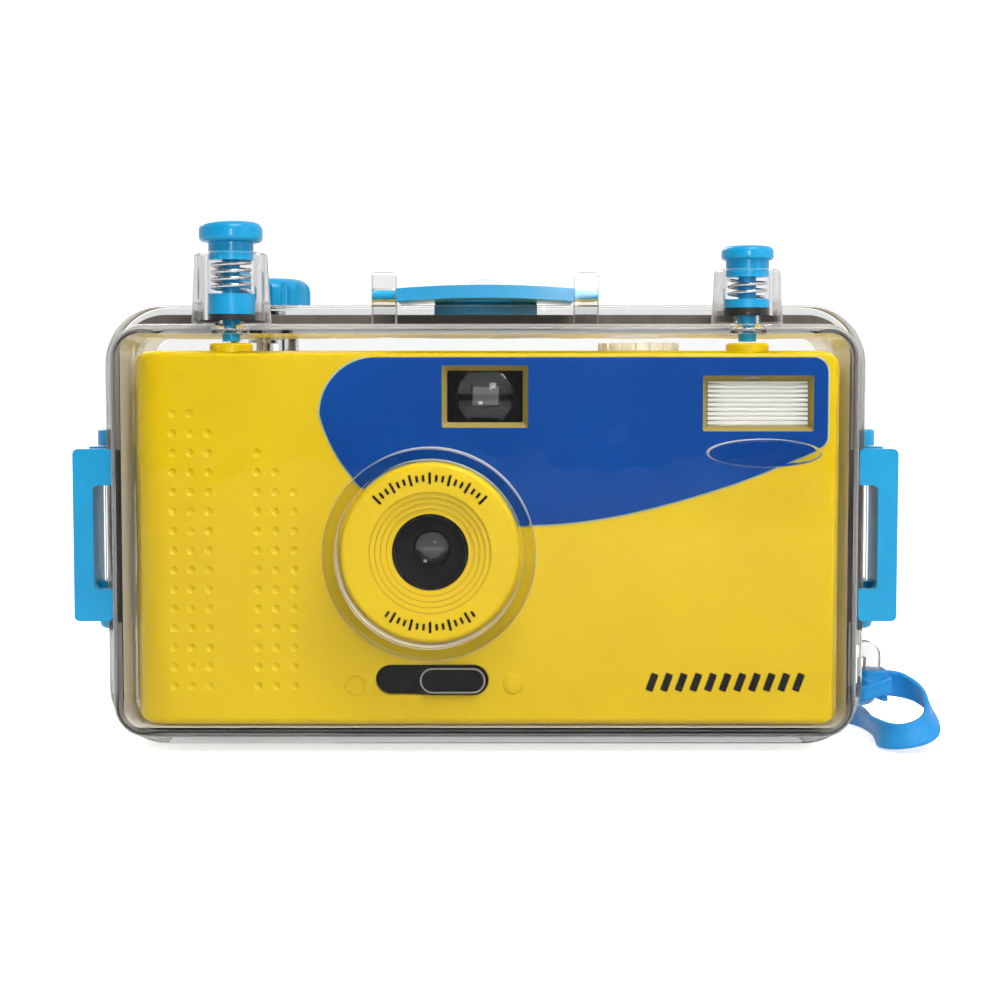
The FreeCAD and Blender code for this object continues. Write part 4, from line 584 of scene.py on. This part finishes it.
def merged_copy(node, name):
    """A CAD node's mesh is loose triangles, so a copy is merged before it is cut."""
    mesh = bmesh.new()
    mesh.from_mesh(nodes[node].data)
    bmesh.ops.remove_doubles(mesh, verts=mesh.verts, dist=1e-6)
    data = bpy.data.meshes.new(name)
    mesh.to_mesh(data)
    mesh.free()
    return data


print("made the helpers Tree, grow, point_mesh and merged_copy")

# %% Cut the dimples
dimple_tree = Tree("grip_dimples", ball=dimple_radius * mm)
holder = new_object("dimple_points", point_mesh("dimple_points", dimple_places))
dots = dimple_tree.add("GeometryNodeObjectInfo", Object=holder)["Geometry"]
ball = dimple_tree.add("GeometryNodeMeshUVSphere", Segments=16, Rings=10, Radius=dimple_tree.number("ball"))
balls = dimple_tree.add("GeometryNodeInstanceOnPoints", Points=dots, Instance=ball["Mesh"])
real_balls = dimple_tree.add("GeometryNodeRealizeInstances", Geometry=balls[0])
cut = dimple_tree.group.nodes.new("GeometryNodeMeshBoolean")
cut.operation = "DIFFERENCE"
cut.solver = "EXACT"
dimple_tree.group.links.new(dimple_tree.given.outputs["Geometry"], cut.inputs["Mesh 1"])
dimple_tree.group.links.new(real_balls[0], cut.inputs["Mesh 2"])
dimple_tree.end(cut.outputs["Mesh"], yellow)
cover = grow("camera_cover_grip", merged_copy("camera_front_cover", "cover_merged"), dimple_tree)
bpy.data.objects.remove(holder)
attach(cover, "housing")
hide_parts("camera_front_cover")

# %% [markdown]
# ## Printed and moulded marks
# The cover carries plain printed marks: short radial ticks round the barrel and a row of slanted bars
# at its foot. Each is one thin block, put on a point with its own lean and length by Geometry Nodes,
# since that is how print repeats. Beside the slider there are two small raised marks, a ring and a dot.

# %% Printed bars
print_black = finish("print_black", linear(18, 14, 14), 0.4, Specular_IOR_Level=0.1)
vary_roughness(print_black, 800, 0.35, 0.5)
print_thickness = 0.05


def printed_bars(name, places, width, front):
    """A bar for each (x, z, lean, length): lean in degrees off upright, sizes in mm."""
    points = point_mesh(name + "_points", [(x, front, z) for x, z, lean, length in places])
    for label, column, factor in (("lean", 2, math.pi / 180), ("length", 3, 1.0)):
        layer = points.attributes.new(label, "FLOAT", "POINT")
        layer.data.foreach_set("value", [place[column] * factor for place in places])
    tree = Tree(name, width=width * mm, thickness=print_thickness * mm)
    lean = tree.add("GeometryNodeInputNamedAttribute", {"data_type": "FLOAT"}, Name="lean")
    length = tree.add("GeometryNodeInputNamedAttribute", {"data_type": "FLOAT"}, Name="length")
    size = tree.add("ShaderNodeCombineXYZ", X=tree.number("width"), Y=tree.number("thickness"), Z=mm)
    bar = tree.add("GeometryNodeMeshCube", Size=size[0])
    turn = tree.add("ShaderNodeCombineXYZ", Y=lean["Attribute"])
    stretch = tree.add("ShaderNodeCombineXYZ", X=1.0, Y=1.0, Z=length["Attribute"])
    bars = tree.add("GeometryNodeInstanceOnPoints", Points=tree.given.outputs["Geometry"],
                    Instance=bar["Mesh"], Rotation=turn[0], Scale=stretch[0])
    tree.end(bars[0], print_black)
    piece = grow(name, points, tree)
    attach(piece, "housing")


# %% Ticks round the barrel
tick_middle = 12.3
tick_angle = 5
tick_width = 0.45
long_tick = 1.9
short_tick = 1.1
upper_steps = 9
lower_steps = 7
ticks = []
for step in range(-upper_steps, upper_steps + 1):
    for base in (0, 180):
        if base == 0 or abs(step) <= lower_steps:
            angle = base + tick_angle * step
            across = tick_middle * mm * math.sin(math.radians(angle))
            up = tick_middle * mm * math.cos(math.radians(angle))
            length = long_tick if step % 3 == 0 else short_tick
            ticks.append((lens_x + across, lens_z + up, angle, length))
printed_bars("barrel_ticks", ticks, tick_width, barrel_front - print_thickness / 2 * mm)

# %% Slanted bars at the foot
bar_count = 11
bar_pitch = 2.45
first_bar_x = 27.9
bar_z = 12.7
bar_lean = 20
bar_length = 3.1
bar_width = 1.25
foot_bars = [((first_bar_x + bar_pitch * step) * mm, bar_z * mm, bar_lean, bar_length)
             for step in range(bar_count)]
printed_bars("foot_bars", foot_bars, bar_width, camera_front - print_thickness / 2 * mm)

# %% [markdown]
# The ring and the dot beside the slider are moulded with the cover. Each is a short outline turned
# about an axis that points at the viewer, with rounded shoulders and its foot sunk a little into the
# cover, so that no gap shows.

# %% Raised marks
mark_segments = 40
mark_z = 12.4 * mm
ring_x = -21.6 * mm
dot_x = 4.7 * mm
ring_profile = [(1.9, -0.1), (1.9, 0.12), (1.75, 0.22), (1.45, 0.22), (1.3, 0.12), (1.3, -0.1), (1.9, -0.1)]
dot_profile = [(1.7, -0.1), (1.7, 0.12), (1.5, 0.24), (0.8, 0.3), (0.01, 0.32)]


def plain_piece(name, mesh, material):
    """Turn a bmesh into an object in the scene, with its faces outward and one material."""
    bmesh.ops.recalc_face_normals(mesh, faces=mesh.faces)
    data = bpy.data.meshes.new(name)
    mesh.to_mesh(data)
    mesh.free()
    data.materials.append(material)
    return new_object(name, data)


def raised_mark(name, profile, middle_x):
    """Turn (radius, forward) pairs in mm about an axis that points at the viewer."""
    mesh = bmesh.new()
    turns = [math.tau * k / mark_segments for k in range(mark_segments)]
    rings = [[mesh.verts.new((middle_x + radius * mm * math.cos(turn), camera_front - forward * mm,
                              mark_z + radius * mm * math.sin(turn))) for turn in turns]
             for radius, forward in profile]
    for ring, following in zip(rings, rings[1:]):
        for k in range(mark_segments):
            after = (k + 1) % mark_segments
            face = mesh.faces.new((ring[k], ring[after], following[after], following[k]))
            face.smooth = True
    if profile[0] != profile[-1]:
        mesh.faces.new(rings[0])
        mesh.faces.new(rings[-1])
    bmesh.ops.remove_doubles(mesh, verts=mesh.verts, dist=1e-7)
    piece = plain_piece(name, mesh, yellow)
    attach(piece, "housing")
    print(name, len(piece.data.polygons), "faces")


raised_mark("raised_ring", ring_profile, ring_x)
raised_mark("raised_dot", dot_profile, dot_x)

# %% [markdown]
# ## Thin borders
# The blue label has a thin pale border where the print under it shows, and the slider's face has a
# fine light rim, a painted highlight along its edge. Both follow an outline that the solids already
# have, so the outline is read from the front face of the solid and a narrow ribbon is laid along it.

# %% Outline of a face
def front_outline(node):
    """The longest loop round the foremost face of a solid, as (x, z) points in order."""
    mesh = bmesh.new()
    mesh.from_mesh(nodes[node].data)
    bmesh.ops.remove_doubles(mesh, verts=mesh.verts, dist=1e-6)
    front = min(vertex.co.y for vertex in mesh.verts)
    flat = [face for face in mesh.faces
            if all(vertex.co.y < front + 1e-6 for vertex in face.verts)]
    following = {}
    for face in flat:
        for loop in face.loops:
            if not all(other in flat for other in loop.edge.link_faces):
                following[loop.vert] = loop.link_loop_next.vert
    loops = []
    while following:
        start = next(iter(following))
        loop = []
        vertex = start
        while vertex in following:
            loop.append((vertex.co.x, vertex.co.z))
            vertex = following.pop(vertex)
        loops.append(loop)
    mesh.free()
    return front, max(loops, key=lambda loop: max(x for x, z in loop) - min(x for x, z in loop))


label_loop = front_outline("front_label")[1]
slider_front, slider_loop = front_outline("cover_slider")
print("outlines:", len(label_loop), "and", len(slider_loop), "points")

# %% Borders
label_band = (-0.05, 0.3)
slider_band = (-0.2, 0.05)
border_lift = 0.03 * mm
rim_lift = 0.02 * mm
under_top_edge = 0.1 * mm
no_ceiling = 1.0


def border(name, loop, front, offsets, ceiling):
    """A ribbon between two offsets of a loop (mm, outward is positive), left out above the ceiling."""
    count = len(loop)
    area = sum(a[0] * b[1] - b[0] * a[1] for a, b in zip(loop, loop[1:] + loop[:1]))
    sign = 1 if area > 0 else -1
    edges = []
    for k, here in enumerate(loop):
        before = Vector(here) - Vector(loop[k - 1])
        after = Vector(loop[(k + 1) % count]) - Vector(here)
        along = (before.normalized() + after.normalized()).normalized()
        edges.append(Vector((along.y, -along.x)) * sign)
    rows = [[(x + n.x * d * mm, front, z + n.y * d * mm) for (x, z), n in zip(loop, edges)]
            for d in offsets]
    faces = [(k, (k + 1) % count, count + (k + 1) % count, count + k) for k in range(count)
             if max(loop[k][1], loop[(k + 1) % count][1]) < ceiling]
    data = bpy.data.meshes.new(name)
    data.from_pydata(rows[0] + rows[1], [], faces)
    return new_object(name, data)


# Painted highlight: a light grey ribbon round the edge of the slider's face.
rim_highlight_grey = finish("rim_highlight_grey", linear(150, 144, 132), 0.35)
vary_roughness(rim_highlight_grey, 600, 0.3, 0.45)
label_border = border("label_border", label_loop, camera_front - border_lift, label_band,
                      label_top - under_top_edge)
slider_rim = border("slider_rim", slider_loop, slider_front - rim_lift, slider_band, no_ceiling)
label_border.data.materials.append(label_edge)
slider_rim.data.materials.append(rim_highlight_grey)
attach(label_border, "housing")
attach(slider_rim, "slider")
print("borders:", len(label_border.data.polygons), "and", len(slider_rim.data.polygons), "faces")

# %% [markdown]
# ## The wrist strap
# The strap is one flat woven band, about 300 mm long, hitched to the lug and laid on the table behind
# the housing. Its line is a NURBS curve over the route's own points, so it bends smoothly. The band is
# swept along that line: its width stands upright, and a few listed leans tip it where the photograph
# shows it turning over.

# %% Strap line
strap_width = 4.6 * mm
strap_thickness = 1.0 * mm
strap_route = (
    (70.75, 2.2, 9.7), (73.0, 2.2, 9.7), (76.9, -1.4, 8.0), (77.0, -8.0, 5.2), (75.0, -11.6, 3.8),
    (71.0, -12.2, 2.8), (68.1, -9.2, 2.4), (67.9, -2.8, 2.4), (68.4, 4.6, 2.4), (67.8, 11.6, 2.4),
    (64.6, 18.6, 2.4), (57.8, 24.4, 2.4), (45.0, 27.6, 2.4), (29.0, 28.6, 2.4), (11.0, 29.4, 2.4),
    (-6.0, 31.6, 2.4), (-22.6, 36.4, 2.4), (-31.6, 44.6, 2.4), (-28.4, 54.0, 2.4), (-14.0, 59.0, 2.4),
    (2.0, 59.8, 2.4), (18.0, 58.0, 2.4), (34.0, 54.0, 2.4), (50.0, 47.6, 2.4), (63.0, 38.4, 2.4),
    (70.6, 28.4, 3.0), (72.2, 19.4, 5.4), (70.4, 12.6, 8.4), (68.3, 8.6, 9.7), (68.3, 4.75, 9.7))


def smooth_line(name, points):
    """The points along a NURBS curve whose control points are the given ones."""
    data = bpy.data.curves.new(name, "CURVE")
    data.dimensions = "3D"
    data.resolution_u = 12
    spline = data.splines.new("NURBS")
    spline.points.add(len(points) - 1)
    for point, (x, y, z) in zip(spline.points, points):
        point.co = (x * mm, y * mm + parting_y, z * mm, 1)
    spline.order_u = 3
    spline.use_endpoint_u = True
    curve = new_object(name, data)
    mesh = bpy.data.meshes.new_from_object(curve.evaluated_get(bpy.context.evaluated_depsgraph_get()))
    line = [vertex.co.copy() for vertex in mesh.vertices]
    bpy.data.objects.remove(curve)
    bpy.data.meshes.remove(mesh)
    return line


strap_line = smooth_line("strap_line", strap_route)
strap_length = sum((b - a).length for a, b in zip(strap_line, strap_line[1:]))
print("strap", round(strap_length * 1000, 1), "mm long,", len(strap_line), "points")

# %% [markdown]
# A band's edge is not sharp: the weave turns back on itself there, which leaves a rounded, slightly
# thicker border. The section below is a small loop with that shape, and each ring of the mesh is that
# loop set square to the line. The UV map holds metres across and along the band, for the weave: two
# crossing waves give the small cushions of a plain woven tape.

# %% Sweep a band
edge_angles = (36, 72, 108, 144)
edge_slope = 1.6
middle_share = 0.8


def band_section(width, thickness):
    """Half-round edges that stand a little proud of the flat middle, as (across, through) pairs."""
    half = width / 2
    edge = thickness / 2
    flat = middle_share * edge
    loop = [(half - edge * edge_slope, flat), (half - edge, edge)]
    loop += [(half - edge + edge * math.sin(math.radians(a)), edge * math.cos(math.radians(a)))
             for a in edge_angles]
    loop += [(half - edge, -edge), (half - edge * edge_slope, -flat)]
    return loop + [(-across, -through) for across, through in loop]


def sweep_band(name, line, width, thickness, lean, material):
    """lean gives the band's tilt off upright, in degrees, as (share of the way, angle) pairs."""
    section = band_section(width, thickness)
    mesh = bmesh.new()
    uv_map = mesh.loops.layers.uv.new("band")
    rings = []
    along = [0.0]
    for before, after in zip(line, line[1:]):
        along.append(along[-1] + (after - before).length)
    for index, point in enumerate(line):
        way = (line[min(index + 1, len(line) - 1)] - line[max(index - 1, 0)]).normalized()
        through = way.cross(Vector((0, 0, 1))).normalized()
        share = along[index] / along[-1]
        angle = 0.0
        for (s0, a0), (s1, a1) in zip(lean, lean[1:]):
            if s0 <= share <= s1:
                step = (share - s0) / (s1 - s0)
                angle = a0 + (a1 - a0) * step * step * (3 - 2 * step)
        turn = Matrix.Rotation(math.radians(angle), 3, way)
        through = turn @ through
        across = through.cross(way).normalized()
        rings.append([mesh.verts.new(point + across * a + through * t) for a, t in section])
    count = len(section)
    for index, (ring, following) in enumerate(zip(rings, rings[1:])):
        for side in range(count):
            face = mesh.faces.new((ring[side], ring[(side + 1) % count],
                                   following[(side + 1) % count], following[side]))
            face.smooth = True
            for loop, (u, v) in zip(face.loops, ((side, 0), (side + 1, 0), (side + 1, 1), (side, 1))):
                loop[uv_map].uv = (section[u % count][0], along[index + v])
    mesh.faces.new(reversed(rings[0]))
    mesh.faces.new(rings[-1])
    return plain_piece(name, mesh, material)


# %% Woven band
strap_blue = finish("strap_blue", linear(12, 142, 216), 0.6, Sheen_Weight=0.3, Sheen_Roughness=0.4)
vary_colour(strap_blue, 220, linear(24, 156, 228), 0.7)


def weave(material, pitch, depth):
    """Small cushions of the given pitch and depth, from two waves that cross."""
    place = add_node(material, "UVMap", uv_map="band")
    split = add_node(material, "SeparateXYZ")
    join(material, place.outputs["UV"], split.inputs[0])
    phases = [math_node(material, "MULTIPLY", split.outputs[axis], math.pi / pitch) for axis in "XY"]
    waves = [math_node(material, "SINE", phase) for phase in phases]
    bump(material, math_node(material, "MULTIPLY", *waves), depth)


weave_pitch = 0.35 * mm
weave_depth = 0.02 * mm
weave(strap_blue, weave_pitch, weave_depth)
strap_lean = ((0, 0), (0.02, 25), (0.07, 35), (0.12, -20), (0.2, 0), (1, 0))
strap = sweep_band("wrist_strap_band", strap_line, strap_width, strap_thickness, strap_lean, strap_blue)
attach(strap, "housing")
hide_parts("wrist_strap")
print("band", len(strap.data.polygons), "faces")

# %% [markdown]
# The strap is tied to the lug by its own end, in a small knot of flat turns. Three closed bands stand
# for it: a collar round the lug and two turns below it that tip opposite ways and so cross.

# %% The hitch on the lug
hitch_x = 68.35
hitch_y = 2.2
hitch_corner = 1.2
hitch_thickness = 0.8 * mm
corner_steps = 6
upright = ((0, 0), (1, 0))


def loop_line(height, rise, half_x, half_y):
    """Points round a rounded rectangle in mm that tips up towards +x by rise at its end."""
    line = []
    for turn, (sx, sy) in enumerate(((1, 1), (-1, 1), (-1, -1), (1, -1))):
        for step in range(corner_steps + 1):
            angle = math.pi / 2 * turn + math.pi / 2 / corner_steps * step
            x = sx * (half_x - hitch_corner) + hitch_corner * math.cos(angle)
            y = sy * (half_y - hitch_corner) + hitch_corner * math.sin(angle)
            line.append(Vector(((hitch_x + x) * mm, (hitch_y + y) * mm + parting_y,
                                (height + rise * x / half_x) * mm)))
    return line + line[:1]


# Each band's name, height, rise, half width, half depth and breadth
hitch_bands = (("hitch_collar", 11.0, 0.0, 2.1, 2.35, 2.6), ("hitch_over", 8.9, 0.9, 2.7, 3.05, 2.7),
               ("hitch_under", 8.9, -0.9, 2.2, 2.5, 2.7))
for name, height, rise, half_x, half_y, width in hitch_bands:
    line = loop_line(height, rise, half_x, half_y)
    band = sweep_band(name, line, width * mm, hitch_thickness, upright, strap_blue)
    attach(band, "housing")
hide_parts("strap_hitch")

# %% [markdown]
# ## Floor and light
# The picture was taken on white. The background has to look white to the camera, in mirrors and
# through clear plastic, and yet it must not flood the object with light. The Light Path node tells
# these rays apart: those that come straight from the camera, a mirror or clear plastic see white, and
# those that have already left a dull surface see the dimmer room that really lights the object.

# %% Which rays see white
def sees_white(owner):
    """1 for rays from the camera, from a mirror or through clear plastic, 0 for light on the object."""
    rays = add_node(owner, "LightPath")
    seen = rays.outputs["Is Camera Ray"]
    for kind in ("Is Glossy Ray", "Is Transmission Ray"):
        seen = math_node(owner, "MAXIMUM", seen, rays.outputs[kind])
    seen = math_node(owner, "SUBTRACT", seen, rays.outputs["Diffuse Depth"])
    seen.node.use_clamp = True
    return seen


# %% [markdown]
# The room is even and white, but the side that the picture is taken from is darker. Only what is
# mirrored shows that side, so the room is dimmed there for mirror rays and stays white for others.
# Without it the flat front of the clear shell would lie over the camera as a white veil.

# %% The room
room_light = 0.28
dark_side_span = (0.2, -0.4)
dark_side_loss = 0.85
world = bpy.data.worlds.new("studio")
world.use_nodes = True
bpy.context.scene.world = world
sky = world.node_tree.nodes["Background"]
sky.inputs["Color"].default_value = (1, 1, 1, 1)
level = map_range(world, sees_white(world), (0.0, 1.0), (room_light, 1.0))
rays = add_node(world, "LightPath")
mirrored = math_node(world, "MINIMUM", rays.outputs["Glossy Depth"], 1.0)
direction = add_node(world, "TexCoord")
split = add_node(world, "SeparateXYZ")
join(world, direction.outputs["Generated"], split.inputs[0])
dark_side = map_range(world, split.outputs["Y"], dark_side_span, (0.0, dark_side_loss))
dimmed = math_node(world, "MULTIPLY", mirrored, dark_side)
room = math_node(world, "SUBTRACT", 1.0, dimmed)
join(world, math_node(world, "MULTIPLY", level, room), sky.inputs["Strength"])
print("room light", room_light, "with", len(world.node_tree.nodes), "nodes")

# %% [markdown]
# A large key lamp above and to the right gives soft shadows. A weak fill and a lamp from behind round
# off the other sides. A small weak lamp before the object only puts a glint on lenses and edges.

# %% Lamps
lamp_aim = (0, 0, 0.04)
# Each lamp's name, place, size in metres and power in watts
lamps = (("key", (0.2, -0.45, 0.75), (0.4, 0.3), 5.0),
         ("fill", (0.6, -0.4, 0.3), (0.4, 0.4), 0.8),
         ("back", (-0.4, 0.7, 0.6), (0.5, 0.5), 4.5),
         ("glint", (0.04, -0.5, 0.12), (0.035, 0.035), 0.3))
for name, place, size, watts in lamps:
    data = bpy.data.lights.new(name, "AREA")
    data.shape = "RECTANGLE"
    data.size, data.size_y = size
    data.energy = watts
    lamp = new_object(name, data)
    lamp.location = place
    lamp.rotation_euler = (Vector(lamp_aim) - Vector(place)).to_track_quat("-Z", "Y").to_euler()
print(len(lamps), "lamps")

# %% [markdown]
# One pale sheet is the floor and curves up behind the object, as a photographer's paper does. It
# glows a little for the rays that see white, and keeps the object's soft shadow.

# %% Floor
floor_lift = 0.65
floor_front = -1.2
bend_start = 0.9
bend_radius = 0.5
wall_top = 1.6
half_width = 2

floor_white = finish("floor_white", (0.93, 0.93, 0.93), 0.9)
vary_roughness(floor_white, 3, 0.85, 0.95)
glow = add_node(floor_white, "Emission")
lift = math_node(floor_white, "MULTIPLY", sees_white(floor_white), floor_lift)
join(floor_white, lift, glow.inputs["Strength"])
both = add_node(floor_white, "AddShader")
join(floor_white, shader_of(floor_white).outputs[0], both.inputs[0])
join(floor_white, glow.outputs[0], both.inputs[1])
join(floor_white, both.outputs[0], output_of(floor_white).inputs["Surface"])

profile = [(floor_front, 0.0), (bend_start, 0.0)]
for angle in range(10, 91, 10):
    turn = math.radians(angle)
    profile.append((bend_start + bend_radius * math.sin(turn), bend_radius - bend_radius * math.cos(turn)))
profile.append((bend_start + bend_radius, wall_top))
floor_mesh = bpy.data.meshes.new("floor")
floor_mesh.from_pydata([(x, y, z) for y, z in profile for x in (-half_width, half_width)], [],
                       [(2 * i, 2 * i + 1, 2 * i + 3, 2 * i + 2) for i in range(len(profile) - 1)])
floor_mesh.polygons.foreach_set("use_smooth", [True] * len(floor_mesh.polygons))
floor_mesh.materials.append(floor_white)
floor = new_object("floor", floor_mesh)
print("floor", len(floor_mesh.polygons), "faces")
